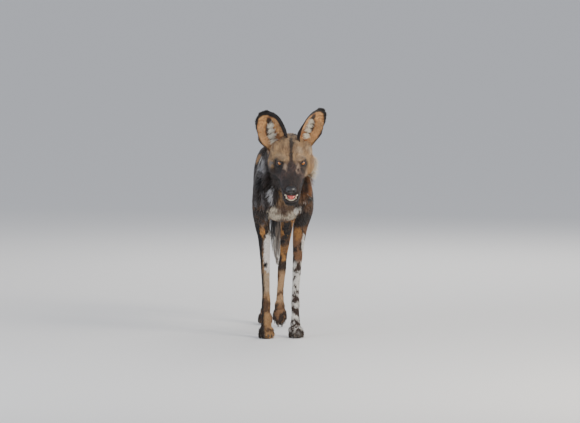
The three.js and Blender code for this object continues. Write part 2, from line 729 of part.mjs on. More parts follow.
node("ear_right", earSolid(-1, { turn: 8, lean: 23, back: 20, base: 45, rise: 19 }), MATERIALS.ear);
node("ear_left", earSolid(1, { turn: 37, lean: 23.5, back: 17, base: 50, rise: 33 }), MATERIALS.ear);

// The part's own frame: the centre of its footprint, on the ground.
const bounds = new THREE.Box3().setFromObject(group);
const centre = bounds.getCenter(new THREE.Vector3());
group.position.set(-centre.x, -centre.y, -bounds.min.z);

export default group;
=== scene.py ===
# African wild dog, life size: one skin, a coat of mesh tufts and locks, eyes, nose, mouth and claws.
import math

import bpy
import numpy as np
from mathutils import Matrix, Vector


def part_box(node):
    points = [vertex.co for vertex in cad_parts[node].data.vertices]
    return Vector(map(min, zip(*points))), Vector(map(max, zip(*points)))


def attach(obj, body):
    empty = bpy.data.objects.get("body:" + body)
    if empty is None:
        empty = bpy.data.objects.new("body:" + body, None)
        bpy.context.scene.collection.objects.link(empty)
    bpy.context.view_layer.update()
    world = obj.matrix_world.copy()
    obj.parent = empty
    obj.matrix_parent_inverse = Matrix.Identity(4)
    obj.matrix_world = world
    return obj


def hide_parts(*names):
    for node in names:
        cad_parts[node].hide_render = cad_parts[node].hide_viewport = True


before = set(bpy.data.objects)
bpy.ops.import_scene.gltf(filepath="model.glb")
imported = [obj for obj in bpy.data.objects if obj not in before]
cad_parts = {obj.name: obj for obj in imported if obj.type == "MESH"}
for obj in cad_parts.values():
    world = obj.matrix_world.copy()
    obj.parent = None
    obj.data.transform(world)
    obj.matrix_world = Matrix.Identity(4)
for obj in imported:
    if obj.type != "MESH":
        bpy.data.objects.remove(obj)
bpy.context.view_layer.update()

# Sizes in millimetres, in the frame of the body: origin on the ground midway between the forefeet,
# the animal faces -Y and its right side is at -X.
HEAD_PITCH = 32
HEAD_YAW = -2.5
HEAD_ORIGIN = (25, -208, 637)
JAW_OPENING = 19
JAW_HINGE = (0, -58, -38)
EYE_RADIUS = 11.5
EYE_PLACE = (38, -90, 13)
EAR_LENGTH = 124
EAR_HALF_WIDTH = 48
CARPUS = 114
PAW_TOP = 44
FLOOR = 0.3
# Size in metres of the voxels that the skin is made from
VOXEL = 0.0023
LENGTHWISE = (0, 1, 0)

rng = np.random.default_rng(20)


def rad(degrees):
    return math.radians(degrees)


def translation(p):
    return np.array(Matrix.Translation(Vector(p)))


def turn(degrees, axis):
    return np.array(Matrix.Rotation(rad(degrees), 4, axis))


def apply(matrix, points):
    points = np.asarray(points, float)
    return points @ matrix[:3, :3].T + matrix[:3, 3]


def eye_place(side):
    return (side * EYE_PLACE[0], *EYE_PLACE[1:])


HEAD = translation(HEAD_ORIGIN) @ turn(HEAD_YAW, "Z") @ turn(HEAD_PITCH, "X")
JAW = translation(JAW_HINGE) @ turn(JAW_OPENING, "X") @ translation([-v for v in JAW_HINGE])
UNHEAD = np.linalg.inv(HEAD)
UNJAW = np.linalg.inv(JAW)

eye_low, eye_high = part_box("eye_left")
eye_centre = apply(HEAD, [EYE_PLACE])[0]
OFFSET = np.array((eye_low + eye_high) / 2) - eye_centre / 1000


def to_row(points):
    return np.asarray(points, float) / 1000 + OFFSET


def to_body(points):
    return (np.asarray(points, float) - OFFSET) * 1000


def unit(v):
    return v / np.maximum(np.linalg.norm(v, axis=-1, keepdims=True), 1e-9)


def smooth(low, high, value):
    t = np.clip((value - low) / (high - low), 0, 1)
    return t * t * (3 - 2 * t)


# Noise in space, in numpy, so that skin and coat share one set of markings.
def hashed(i, j, k, seed):
    h = (i * 73856093) ^ (j * 19349663) ^ (k * 83492791) ^ (seed * 2654435761)
    h = (h ^ (h >> 13)) * 1274126177
    return ((h ^ (h >> 16)) & 0xFFFF) / 65535.0


def noise(points, size, seed=0):
    p = np.asarray(points, float) / size
    base = np.floor(p).astype(np.int64)
    f = p - base
    f = f * f * (3 - 2 * f)
    total = 0.0
    for dx in (0, 1):
        for dy in (0, 1):
            for dz in (0, 1):
                weight = np.abs(1 - dx - f[:, 0]) * np.abs(1 - dy - f[:, 1]) * np.abs(1 - dz - f[:, 2])
                total = total + weight * hashed(base[:, 0] + dx, base[:, 1] + dy, base[:, 2] + dz, seed)
    return total


def cloud(points, size, seed=0):
    parts = [noise(points, size / 2**o, seed + 7 * o) / 2**o for o in range(3)]
    return sum(parts) / 1.75


def wander(points, size, seed):
    """Offsets in all three directions that drift from place to place."""
    return np.stack([noise(points, size, seed + i) - 0.5 for i in range(3)], 1) * size


def radial(*terms):
    """Distance in radii, from the offset along each axis over the radius along it."""
    return np.sqrt(sum(term**2 for term in terms))


def vectors(x, y, z):
    return np.stack(np.broadcast_arrays(x, y, z), 1)


def above_floor(points):
    return np.maximum(points, (-np.inf, -np.inf, FLOOR))


# Forms: each is a pair of points and faces
def ring_faces(rows, across, closed=False):
    """Quads between rows of points that each run once round; closed joins the last row to the first."""
    faces = []
    for i in range(rows if closed else rows - 1):
        row, after = i * across, (i + 1) % rows * across
        for k in range(across):
            n = (k + 1) % across
            faces.append((row + k, row + n, after + n, after + k))
    return faces


def turned_over(quads):
    return [(a, d, c, b) for a, b, c, d in quads]


def along(values, t):
    values = np.asarray(values, float)
    place = np.asarray(t) * (len(values) - 1)
    i = np.minimum(np.floor(place).astype(int), len(values) - 2)
    u = (place - i).reshape((-1,) + (1,) * (values.ndim - 1))
    at = lambda k: values[np.clip(k, 0, len(values) - 1)]
    a, b, c, d = at(i - 1), at(i), at(i + 1), at(i + 2)
    return (2 * b + (c - a) * u + (2 * a - 5 * b + 4 * c - d) * u**2 + (3 * b - a - 3 * c + d) * u**3) / 2


def loft(rows, rings, segments, front=(0, 0, 1), axis=None, grow=0.0):
    """rows: x, y, z, half width, reach to the front, reach to the back, squareness, that of the front."""
    full = [tuple(r) + (2.0,) * (7 - len(r)) for r in rows]
    rows = np.asarray([r if len(r) == 8 else r + (r[6],) for r in full], float)
    t = np.linspace(0, 1, rings)
    read = along(rows, t)
    centre = read[:, :3].copy()
    tangent = unit(np.gradient(centre, axis=0))
    if axis is not None:
        sign = np.sign((centre[-1] - centre[0]) @ np.array(axis))
        tangent = np.tile(np.array(axis, float) * sign, (rings, 1))
    centre[0] -= tangent[0] * grow
    centre[-1] += tangent[-1] * grow
    ahead = np.tile(np.array(front, float), (rings, 1))
    face = unit(ahead - tangent * (ahead * tangent).sum(1)[:, None])
    side = unit(np.cross(face, tangent))
    angle = np.linspace(0, 2 * np.pi, segments, endpoint=False)
    c, s = np.cos(angle), np.sin(angle)
    power = 2 / np.where(s[None] >= 0, read[:, 7][:, None], read[:, 6][:, None])
    reach = np.where(s[None] >= 0, read[:, 4][:, None], read[:, 5][:, None]) + grow
    across = np.sign(c) * np.abs(c) ** power * (read[:, 3][:, None] + grow)
    out = np.sign(s) * np.abs(s) ** power * reach
    points = centre[:, None] + across[..., None] * side[:, None] + out[..., None] * face[:, None]
    points = np.concatenate([points.reshape(-1, 3), centre[[0, -1]]])
    faces = ring_faces(rings, segments)
    first, last = rings * segments, rings * segments + 1
    top = (rings - 1) * segments
    for k in range(segments):
        n = (k + 1) % segments
        faces += [(first, n, k), (last, top + k, top + n)]
    return points, faces


def barrel(y, top, bottom, half_width, share, x, *squareness):
    """A row for loft, for a form that runs along Y and is widest at this share of its height."""
    middle = bottom + (top - bottom) * share
    return (x, y, middle, half_width, top - middle, middle - bottom, *squareness)


def ball(centre, radii, euler=(0, 0, 0), across=32, down=20, grow=0.0):
    points = []
    for i in range(down + 1):
        polar = math.pi * i / down
        r = max(math.sin(polar), 0.002)
        for k in range(across):
            a = 2 * math.pi * k / across
            points.append((r * math.cos(a), r * math.sin(a), -math.cos(polar)))
    points = np.array(points) * (np.array(radii) + grow)
    spin = turn(euler[2], "Z") @ turn(euler[1], "Y") @ turn(euler[0], "X")
    faces = ring_faces(down + 1, across)
    faces += [tuple(reversed(range(across))), tuple(range(down * across, (down + 1) * across))]
    return apply(spin, points) + np.array(centre), faces


def moved(matrix, form):
    return apply(matrix, form[0]), form[1]


def flipped(form):
    return form[0], [tuple(reversed(f)) for f in form[1]]


def outward(form):
    points, faces = form
    volume = 0.0
    for f in faces:
        a = points[f[0]]
        for i in range(1, len(f) - 1):
            volume += float(np.dot(a, np.cross(points[f[i]], points[f[i + 1]])))
    return flipped(form) if volume < 0 else form


def joined(forms):
    points, faces, start = [], [], 0
    for p, f in forms:
        points.append(p)
        faces.extend(tuple(i + start for i in face) for face in f)
        start += len(p)
    return np.concatenate(points), faces


# Meshes and objects
def smooth_mesh(name, points, faces):
    mesh = bpy.data.meshes.new(name)
    mesh.from_pydata(points.tolist(), [], faces)
    mesh.update()
    mesh.polygons.foreach_set("use_smooth", np.ones(len(mesh.polygons), bool))
    return mesh


def in_scene(name, data):
    made = bpy.data.objects.new(name, data)
    bpy.context.scene.collection.objects.link(made)
    return made


def mesh_object(name, form):
    return in_scene(name, smooth_mesh(name, to_row(form[0]), form[1]))


def mesh_points(mesh):
    points = np.zeros(len(mesh.vertices) * 3)
    mesh.vertices.foreach_get("co", points)
    return to_body(points.reshape(-1, 3))


def set_points(mesh, points):
    mesh.vertices.foreach_set("co", to_row(points).ravel())
    mesh.update()


def discard(made):
    mesh = made.data
    bpy.data.objects.remove(made)
    bpy.data.meshes.remove(mesh)


def baked(made):
    """Gives made the mesh that its modifiers make, and clears them."""
    bpy.context.view_layer.update()
    graph = bpy.context.evaluated_depsgraph_get()
    mesh = bpy.data.meshes.new_from_object(made.evaluated_get(graph))
    made.modifiers.clear()
    old = made.data
    made.data = mesh
    bpy.data.meshes.remove(old)
    return made


def carve(made, tools):
    """Cuts each tool, a closed form, out of made."""
    knives = [mesh_object("knife", outward(tool)) for tool in tools]
    for knife in knives:
        bar = made.modifiers.new("cut", "BOOLEAN")
        bar.operation = "DIFFERENCE"
        bar.solver = "EXACT"
        bar.object = knife
    baked(made)
    for knife in knives:
        discard(knife)


def cut(form, tool):
    """form less tool, both closed."""
    body = mesh_object("cut_body", outward(form))
    carve(body, [tool])
    points = mesh_points(body.data)
    faces = [tuple(p.vertices) for p in body.data.polygons]
    discard(body)
    return points, faces


def remeshed(name, form, voxel):
    made = mesh_object(name, form)
    mod = made.modifiers.new("voxel", "REMESH")
    mod.mode = "VOXEL"
    mod.voxel_size = voxel
    mod.use_smooth_shade = True
    return baked(made)


# Forms of the body. Rows of the trunk: y, top, bottom, half width, x.
TRUNK = [
    (-88, 556, 462, 26, 6), (-74, 584, 430, 52, 6), (-45, 620, 398, 74, 6), (10, 650, 383, 88, 6),
    (70, 662, 380, 96, 6), (150, 652, 386, 95, 5), (240, 642, 404, 88, 3), (330, 636, 434, 77, 1),
    (410, 634, 463, 66, 0), (490, 630, 474, 66, 0), (555, 614, 488, 58, 0), (592, 592, 508, 42, 0),
    (606, 576, 535, 20, 0),
]
NECK = [
    (5, 70, 556, 62, 84, 100, 2.1, 1.6), (6, 0, 572, 74, 80, 112, 2.1, 1.75),
    (11, -60, 590, 73, 75, 102, 2.1, 1.9), (17, -120, 610, 69, 71, 90, 2.1),
    (23, -172, 626, 66, 66, 78, 2.1), (25, -205, 630, 48, 52, 60, 2.1),
]


def trunk(grow):
    rows = [barrel(y, top, bottom, w, 0.35, x, 2.15, 1.5) for y, top, bottom, w, x in TRUNK]
    return loft(rows, 90, 64, axis=LENGTHWISE, grow=grow)


def foreleg(foot_x, foot_y, elbow_x, shoulder_x):
    mix = lambda a, b, t: a + (b - a) * t
    return [
        (shoulder_x - 34, 62, 628, 13, 20, 22), (shoulder_x - 23, 44, 594, 19, 38, 42),
        (shoulder_x - 10, 22, 545, 27, 56, 56), (shoulder_x, -2, 478, 30, 62, 62),
        (shoulder_x + 2, 2, 425, 29, 50, 58), (elbow_x + 6, 14, 375, 26, 34, 44),
        (elbow_x, 10, 335, 23, 27, 30),
        (mix(elbow_x, foot_x, 0.35), mix(6, foot_y, 0.3), 280, 18.5, 20, 20),
        (mix(elbow_x, foot_x, 0.7), mix(2, foot_y, 0.6), 210, 15.5, 16, 16),
        (mix(elbow_x, foot_x, 0.95), mix(0, foot_y, 0.9), 150, 14, 13.5, 14),
        (foot_x, foot_y, CARPUS, 16.5, 15, 15.5), (foot_x, foot_y - 1, 84, 15, 12.5, 13),
        (foot_x, foot_y - 5, PAW_TOP + 10, 16.5, 14, 13), (foot_x, foot_y - 6, PAW_TOP - 6, 17, 15, 14),
    ]


PLANTED_HIND = [
    (21, 515, 594, 21, 34, 32), (33, 510, 566, 27, 58, 54), (40, 498, 520, 31, 70, 68),
    (43, 482, 455, 30, 62, 68), (42, 474, 395, 27, 46, 56), (39, 494, 335, 23, 34, 42),
    (35, 522, 275, 18.5, 24, 26), (31, 548, 218, 14.5, 16, 20), (30, 560, 178, 16, 17, 19),
    (30, 561, 138, 13.5, 13, 14), (30, 558, 92, 13, 12, 12.5), (30, 553, 54, 15, 13, 13),
    (30, 551, 38, 17, 15, 14),
]
LIFTED_HIND = [
    (21, 515, 594, 21, 34, 32), (33, 506, 566, 27, 58, 56), (40, 482, 520, 31, 68, 70),
    (43, 455, 462, 30, 58, 68), (43, 440, 405, 27, 46, 56), (40, 452, 350, 23, 34, 42),
    (35, 472, 292, 18.5, 24, 27), (29, 488, 235, 14.5, 16, 20), (24, 490, 190, 16, 17, 19),
    (20, 470, 152, 13.5, 13, 14), (16, 446, 112, 13, 12, 12.5), (14.5, 428, 86, 15, 13, 13),
    (14, 420, 68, 17, 15, 14),
]
TAIL_PATH = [
    (0, 575, 584), (3, 620, 568), (10, 655, 516), (18, 668, 452), (23, 670, 386), (24, 666, 310),
    (24, 660, 240), (24, 655, 190),
]
TAIL_CORE = [25, 22, 19, 17, 16, 15, 12, 4]
BRUSH_REACH = [0, 0, 20, 26, 33, 35, 29, 8]
# Each limb: side, rows, place of the paw, its turn and tip, and its toes' spread, reach and bend
LIMBS = {
    "fore_right": (-1, foreleg(50, -14, 56, 64), (-50, -19, 0), -2, 0, (0.84, 1, 0)),
    "fore_left": (1, foreleg(48, 4, 61, 75), (48, -1, 0), 2, 0, (0.84, 1, 0)),
    "hind_right": (-1, PLANTED_HIND, (-30, 553, 0), -3, 0, (0.84, 1, 0)),
    "hind_left": (1, LIFTED_HIND, (14, 400, 40), 2, -32, (0.8, 0.95, 92)),
}
# Toes: offset to the side, reach ahead, size
TOES = [(-20, 30, 0.92), (-7.6, 43, 1), (7.6, 43, 1), (20, 30, 0.92)]
PAW_PIVOT = PAW_TOP - 14


def mirrored(rows, side):
    return [(r[0] * side,) + tuple(r[1:]) for r in rows]


def paw_matrices(limb):
    """The frame of the paw, and that of the part which bends about its pivot."""
    at, spin, tip, (_, _, bend) = limb[2:]
    placed = translation(at) @ turn(spin, "Z") @ turn(tip, "X")
    bent = placed @ translation((0, 0, PAW_PIVOT)) @ turn(bend, "X") @ translation((0, 0, -PAW_PIVOT))
    return placed, bent


def paw(limb, grow):
    spread, reach, _ = limb[5]
    placed, bent = paw_matrices(limb)
    wrist = loft(
        [(0, 3, PAW_TOP + 8, 15.5, 13.5, 13), (0, 1, PAW_TOP - 4, 17, 15, 14),
         (0, -1, PAW_PIVOT - 4, 17, 15, 14), (0, -1, PAW_PIVOT - 11, 9, 8, 8)],
        12, 24, front=(0, -1, 0), grow=grow)
    forms = [ball((0, -8, 20), (19, 17, 14), across=20, down=12, grow=grow),
             ball((0, -6, 8), (17, 15, 10), across=20, down=12, grow=grow)]
    for offset, ahead, size in TOES:
        x, y = offset * spread, -ahead * reach
        forms.append(loft(
            [(x * 0.55, y * 0.1, PAW_PIVOT, 8 * size, 8 * size, 8 * size),
             (x * 0.85, y * 0.55, PAW_TOP - 17, 9.4 * size, 9.5 * size, 10 * size),
             (x, y * 0.92, 17, 9.5 * size, 9 * size, 10 * size),
             (x * 1.04, y * 1.2, 9.5, 8.2 * size, 7 * size, 10 * size),
             (x * 1.06, y * 1.36, 7, 4.5 * size, 4 * size, 6 * size)], 14, 18, grow=grow))
    return [moved(placed, wrist)] + [moved(bent, f) for f in forms]


def claws(limb):
    spread, reach, _ = limb[5]
    made = []
    for offset, ahead, _ in TOES:
        x, y = offset * spread, -ahead * reach
        points, faces = moved(paw_matrices(limb)[1], loft(
            [(x * 1.04, y * 1.2, 12.5, 2.8, 3.2, 2.8), (x * 1.06, y * 1.36, 12, 2.7, 3.0, 2.6),
             (x * 1.07, y * 1.45 - 3, 9, 2.0, 2.2, 2.0), (x * 1.08, y * 1.45 - 8, 4.5, 0.7, 0.7, 0.7)],
            12, 12))
        made.append((above_floor(points), faces))
    return made


# Rows of the skull: y, top, bottom, half width, squareness. Those of the jaw end with the half width.
SKULL = [
    (34, 30, -48, 34, 2.0), (20, 46, -64, 52, 2.1), (-12, 55, -70, 63, 2.2), (-45, 54, -70, 66, 2.2),
    (-72, 45, -66, 62, 2.3), (-95, 30, -58, 50, 2.4), (-118, 20, -50, 40, 2.5), (-145, 12, -47, 35, 2.5),
    (-172, 4, -46, 31, 2.4), (-192, -3, -45, 27, 2.3), (-203, -10, -42, 19, 2.1),
]
JAW_ROWS = [
    (-34, -44, -80, 44), (-62, -47, -85, 45), (-86, -49, -84, 41), (-110, -52, -80, 35), (-138, -53, -77, 31),
    (-160, -53, -75, 27), (-176, -54, -72, 21), (-183, -57, -68, 12),
]
# Hollow of the jaw and roof of the mouth: y, half width
HOLLOW = [(-50, 30), (-84, 30), (-112, 26), (-140, 22), (-160, 17), (-171, 10)]
PALATE = [(-92, 14), (-112, 27), (-140, 25), (-165, 21), (-182, 14), (-188, 7)]


def head_forms(grow):
    palate = loft([(0, y, -50, w, 13, 20, 2.6) for y, w in PALATE], 30, 32, axis=LENGTHWISE)
    rows = [barrel(y, top, bottom, w, 0.42, 0, n) for y, top, bottom, w, n in SKULL]
    forms = [cut(loft(rows, 80, 64, axis=LENGTHWISE, grow=grow), palate)]
    for side in (-1, 1):
        socket = ball(eye_place(side), [EYE_RADIUS + 0.6] * 3)
        brow = ball((side * 32, -85, 26), (20, 16, 10), (0, side * 16, side * 24), grow=grow)
        forms += [
            ball((side * 51, -40, -18), (25, 48, 40), (0, 0, side * 9), grow=grow),
            ball((side * 47, -26, 14), (23, 38, 32), grow=grow),
            cut(brow, socket),
            cut(ball((side * 19, -172, -31), (15.5, 28, 16), grow=grow), palate),
        ]
    return forms


def jaw_form(grow):
    hollow = loft([(0, y, -30, w, 12, 35, 3) for y, w in HOLLOW], 30, 32, axis=LENGTHWISE)
    rows = [barrel(y, top, bottom, w, 0.6, 0, 2.6) for y, top, bottom, w in JAW_ROWS]
    return moved(JAW, cut(loft(rows, 60, 48, axis=LENGTHWISE, grow=grow), hollow))


# One skin over all of the flesh
parts = [outward(trunk(-4.5)), outward(loft(NECK, 50, 56, grow=-5))]
for limb in LIMBS.values():
    parts.append(outward(loft(mirrored(limb[1], limb[0]), 90, 32, front=(0, -1, 0), grow=-2.6)))
    parts += [outward(f) for f in paw(limb, -0.8)]
tail_rows = [p + (r, r * 0.95, r) for p, r in zip(TAIL_PATH, TAIL_CORE)]
parts.append(outward(loft(tail_rows, 60, 24, front=(0, 1, 0.2), grow=-3)))
parts += [outward(moved(HEAD, f)) for f in head_forms(-1.2) + [jaw_form(-1.0)]]
skin = remeshed("skin", joined(parts), VOXEL)


def relax(mesh, points, weight, rounds):
    """Moves each vertex towards the mean of its neighbours, by its weight, and back a little."""
    edges = np.zeros(len(mesh.edges) * 2, np.int32)
    mesh.edges.foreach_get("vertices", edges)
    a, b = edges[0::2], edges[1::2]
    number = len(points)
    count = np.bincount(edges, minlength=number)[:, None]
    for _ in range(rounds):
        for factor in (0.62, -0.5):
            total = [np.bincount(a, points[b, k], number) + np.bincount(b, points[a, k], number)
                     for k in range(3)]
            points = points + (np.stack(total, 1) / count - points) * (weight * factor)[:, None]
    return points


points = mesh_points(skin.data)
in_head = apply(UNHEAD, points)
headness = smooth(40, -20, in_head[:, 1]) * smooth(-170, -120, in_head[:, 2])
pawness = smooth(66, 46, points[:, 2])
weight = np.clip(1 - 0.8 * headness - 0.8 * pawness, 0.1, 1)
set_points(skin.data, above_floor(relax(skin.data, points, weight, 30)))


# Markings: one function of place for skin and coat
def tone(r, g, b):
    return np.array([(v / 255) ** 2.2 for v in (r, g, b)])


BLACK = tone(30, 25, 23)
DARK = tone(58, 43, 33)
BROWN = tone(104, 74, 50)
GOLD = tone(178, 126, 68)
TAN = tone(184, 143, 98)
BUFF = tone(196, 164, 122)
CREAM = tone(226, 212, 188)
WHITE = tone(236, 231, 222)
MOUTH = tone(128, 62, 58)
SPECK = tone(62, 44, 34)


def layered(base, *layers):
    """base with each layer, a colour and its share at each place, laid over it in turn."""
    for color, share in layers:
        base = base + (color - base) * np.clip(share, 0, 1)[:, None]
    return base


def spot(p, x, z, rx, rz, seed):
    """An ellipse on the front of the body, with a ragged edge."""
    ragged = 0.5 * (noise(p, 9, seed) - 0.5) + 0.3 * (noise(p, 4, seed + 3) - 0.5)
    return smooth(1.08, 0.92, radial((p[:, 0] - x) / rx, (p[:, 2] - z) / rz) + ragged)


# Chest and neck as seen from the front: x, z, half width, half height, colour.
FRONT_SPOTS = [
    (-20, 416, 27, 33, CREAM), (28, 418, 24, 19, CREAM), (56, 436, 17, 10, WHITE), (4, 436, 9, 18, BLACK),
    (-33, 486, 7, 27, tone(184, 182, 182)), (-62, 580, 13, 26, tone(156, 154, 154)),
    (12, 386, 58, 10, BLACK), (62, 480, 20, 24, BROWN), (84, 500, 13, 20, tone(140, 92, 54)),
    (-64, 520, 16, 18, BLACK), (72, 540, 14, 12, GOLD), (88, 452, 10, 14, BROWN),
]


def body_marks(p):
    """Colours of the trunk, and the places bent by noise that they were read at."""
    bend = wander(p, 34, 31)
    q = p * (1.0, 0.8, 1.0) + bend + wander(p, 7, 34)
    tan = smooth(0.535, 0.56, cloud(q, 120, 4) - 0.05 * (1 - smooth(40, 140, p[:, 1])))
    flank = smooth(150, 260, p[:, 1])
    dark_side = smooth(-24, -44, p[:, 0] + 0.3 * bend[:, 1]) * smooth(330, 280, p[:, 1] + bend[:, 0])
    white = smooth(0.575, 0.592, cloud(q, 95, 8) - 0.09 * (1 - flank)) * (1 - dark_side)
    streak = smooth(0.62, 0.7, noise(p * (1.0, 0.5, 0.22), 9, 10)) * (1 - flank) * smooth(-20, -50, p[:, 0])
    color = layered(
        BLACK,
        (DARK, cloud(q, 40, 2)),
        (layered(TAN, (GOLD, cloud(q, 60, 5))), tan),
        (DARK, smooth(0.56, 0.59, cloud(q, 46, 6)) * tan),
        (WHITE, white),
        (BLACK, white * smooth(0.60, 0.63, cloud(q, 26, 9))),
        (tone(120, 116, 116), streak * 0.7),
    )
    return color, q


def leg_marks(p, q, color):
    x, y, z = p.T
    fore = smooth(396, 352, z) * (y < 160)
    hind = smooth(452, 400, z) * (y >= 160)
    right = x < 8
    small = cloud(q, 30, 12)
    gold_spot = spot(p, -63, 362, 8, 24, 40)
    right_fore = layered(
        TAN,
        (BROWN, smooth(0.5, 0.62, small)),
        (tone(196, 172, 142), smooth(236, 205, z) * smooth(140, 165, z) * 0.8),
        (BLACK, smooth(300, 345, z + 20 * (small - 0.5)) * 0.95),
        (GOLD, gold_spot),
        # Black along the outer side of the upper right foreleg: partly black fur, partly painted shade on
        # that side
        (BLACK, smooth(-56, -63, x + 5 * small) * smooth(180, 230, z) * (1 - gold_spot)),
        (WHITE, spot(p, -45, 284, 13, 68, 41)),
        (BLACK, spot(p, -53, 246, 6, 8, 42)),
        # Black down the outer edge of the lower right foreleg: partly black fur, partly painted shade on that
        # side
        (BLACK, smooth(-52, -57, x + 5 * small) * smooth(250, 200, z) * 0.95),
        (WHITE, smooth(0.58, 0.6, cloud(q, 60, 44)) * smooth(6, 20, y) * 0.9),
    )
    speckled = layered(
        WHITE,
        (SPECK, smooth(0.535, 0.56, cloud(q, 14, 13))),
        (SPECK, smooth(0.5, 0.54, cloud(q, 17, 39)) * smooth(130, 90, z)),
        (SPECK, spot(p, 58, 238, 8, 16, 47)),
    )
    left_fore = layered(
        tone(132, 94, 64),
        (DARK, smooth(0.43, 0.5, small)),
        (GOLD, spot(p, 56, 352, 11, 22, 46) * 0.8),
        (WHITE, spot(p, 74, 310, 6, 40, 45)),
        (speckled, smooth(262, 246, z + 14 * (small - 0.5))),
        (DARK, smooth(34, 18, z) * 0.8),
    )
    shank = layered(tone(178, 142, 104), (BROWN, smooth(0.5, 0.58, cloud(q, 24, 16))))
    foot = layered(tone(134, 98, 68), (DARK, smooth(0.46, 0.54, cloud(q, 18, 11))))
    hind_leg = layered(
        GOLD,
        (BLACK, smooth(0.5, 0.53, cloud(q, 36, 14))),
        (BROWN, smooth(0.5, 0.6, cloud(q, 18, 15)) * 0.7),
        (DARK, smooth(252, 236, z) * smooth(170, 196, z) * smooth(0.4, 0.5, small)),
        (shank, smooth(196, 172, z)),
        (foot, smooth(96, 70, z)),
    )
    return layered(color, (right_fore, fore * right), (left_fore, fore * ~right), (hind_leg, hind))


def tail_marks(p, color):
    y, z = p[:, 1], p[:, 2]
    tail_color = layered(
        TAN,
        (BROWN, cloud(p, 30, 17)),
        (BLACK, smooth(560, 530, z + 16 * (noise(p, 12, 18) - 0.5))),
        (WHITE, smooth(352, 316, z + 40 * (noise(p, 12, 19) - 0.5))),
    )
    return layered(color, (tail_color, smooth(606, 622, y) * (z > 150)))


def eye_distance(h):
    return radial(np.abs(h[:, 0]) - EYE_PLACE[0], h[:, 1] - EYE_PLACE[1], h[:, 2] - EYE_PLACE[2])


def mouth_inside(h):
    """Share of the mouth's colour in the hollow of the jaw and on the roof of the mouth."""
    side, y, z = np.abs(h[:, 0]), h[:, 1], h[:, 2]
    jaw = apply(UNJAW, h)
    jaw_width = np.interp(-jaw[:, 1], [-y for y, w in HOLLOW], [w for y, w in HOLLOW])
    inside = smooth(0.5, -1.5, np.abs(jaw[:, 0]) - jaw_width) * smooth(-50, -53, jaw[:, 2])
    inside *= (jaw[:, 2] > -71) * (jaw[:, 1] > -171) * (jaw[:, 1] < -52)
    roof_width = np.interp(-y, [-y for y, w in PALATE], [w for y, w in PALATE])
    roof = smooth(0.5, -1.5, side - roof_width) * smooth(-45.5, -43.5, z)
    return np.maximum(inside, roof * (z < -34) * (y < -96) * (y > -187))


def head_marks(h):
    """Colours of the head, from places in its own frame."""
    x, y, z = h.T
    side = np.abs(x)
    rag = 8 * (noise(h, 9, 21) - 0.5) + 5 * (noise(h, 4, 22) - 0.5)
    flecks = cloud(h * (1.5, 0.5, 1.0), 8, 25)
    shaded = smooth(-2, -16, z + 1.4 * rag + 0.25 * (side - 50)) * smooth(-34, -44, x)
    grey = radial((x + 60) / 12, (z + 8) / 14) + 0.5 * (flecks - 0.5)
    stripe_width = np.interp(-y, [-20, 10, 40, 65, 90, 115], [2.0, 3.0, 8.0, 5.0, 4.5, 12.0])
    stripe = smooth(2.6, -1.8, side - stripe_width + 0.85 * rag) * smooth(-8, 4, z)
    muzzle = smooth(-88, -118, y + 0.8 * rag - 0.14 * (side - 20) - 0.1 * z + 34 * (flecks - 0.5))
    muzzle_color = layered(tone(94, 70, 60), (tone(50, 38, 36), smooth(0.45, 0.58, cloud(h, 6, 28))))
    bridge = smooth(1.15, 0.6, radial((side - 21) / 9, (y + 124) / 20)) * smooth(0.45, 0.53, flecks)
    corner = smooth(9, 4, np.abs(z + 46 - 0.28 * (y + 96)) + 0.4 * rag)
    corner = corner * smooth(-120, -100, y) * smooth(-30, -52, y)
    cheek = smooth(1.1, 0.7, radial((x - 56) / 10, (z + 34) / 16)) * (y > -90)
    # The dark mask round each eye is a real marking; it is larger and darker on the right side (x < 0), and
    # that extra is painted shade
    mask_size_with_painted_shade = np.where(x < 0, 1.2, 0.95)
    mask = radial((side - 36) / 21, (y + 94) / 26, (z - 3) / 22) / mask_size_with_painted_shade + 0.75 * (flecks - 0.5)
    under_eye = radial((side - 42) / 7, (y + 92) / 9, (z + 6) / 5)
    far = eye_distance(h)
    return layered(
        BUFF,
        (TAN, cloud(h, 30, 23)),
        # Painted light: cream on the head's left side (x > 0), lighter there as if lit from that side
        (CREAM, smooth(0.5, 0.68, cloud(h, 22, 26)) * smooth(-20, 40, x) * 0.35),
        (tone(116, 88, 66), smooth(0.5, 0.62, flecks) * 0.62),
        (BROWN, smooth(-30, -48, z + rag) * smooth(-100, -60, y) * 0.8),
        (DARK, shaded),
        (tone(132, 126, 124), smooth(1.1, 0.8, grey) * (y > -80) * 0.9),
        (tone(50, 36, 29), stripe * 0.95),
        (muzzle_color, muzzle),
        (BLACK, muzzle * smooth(-128, -170, y) * 0.7),
        (BLACK, muzzle * smooth(0.5, 0.62, cloud(h, 12, 27)) * 0.4),
        (tone(168, 144, 122), bridge * 0.85),
        (DARK, corner),
        (TAN, cheek * 0.8),
        (BLACK, smooth(-52, -60, z + 0.5 * rag)),
        # Dark mask round the eyes: a real marking, made stronger on the right side by painted shade
        (tone(40, 31, 28), smooth(1.2, 0.85, mask) * np.where(x < 0, 0.95, 0.62)),
        (tone(128, 90, 66), smooth(1.1, 0.6, under_eye) * 0.7),
        (BLACK, smooth(17.5, 14.5, far + 0.2 * rag)),
        (tone(206, 180, 146), smooth(8, 3, np.abs(far - 25)) * smooth(20, 28, z) * 0.2),
        (MOUTH, mouth_inside(h)),
    )


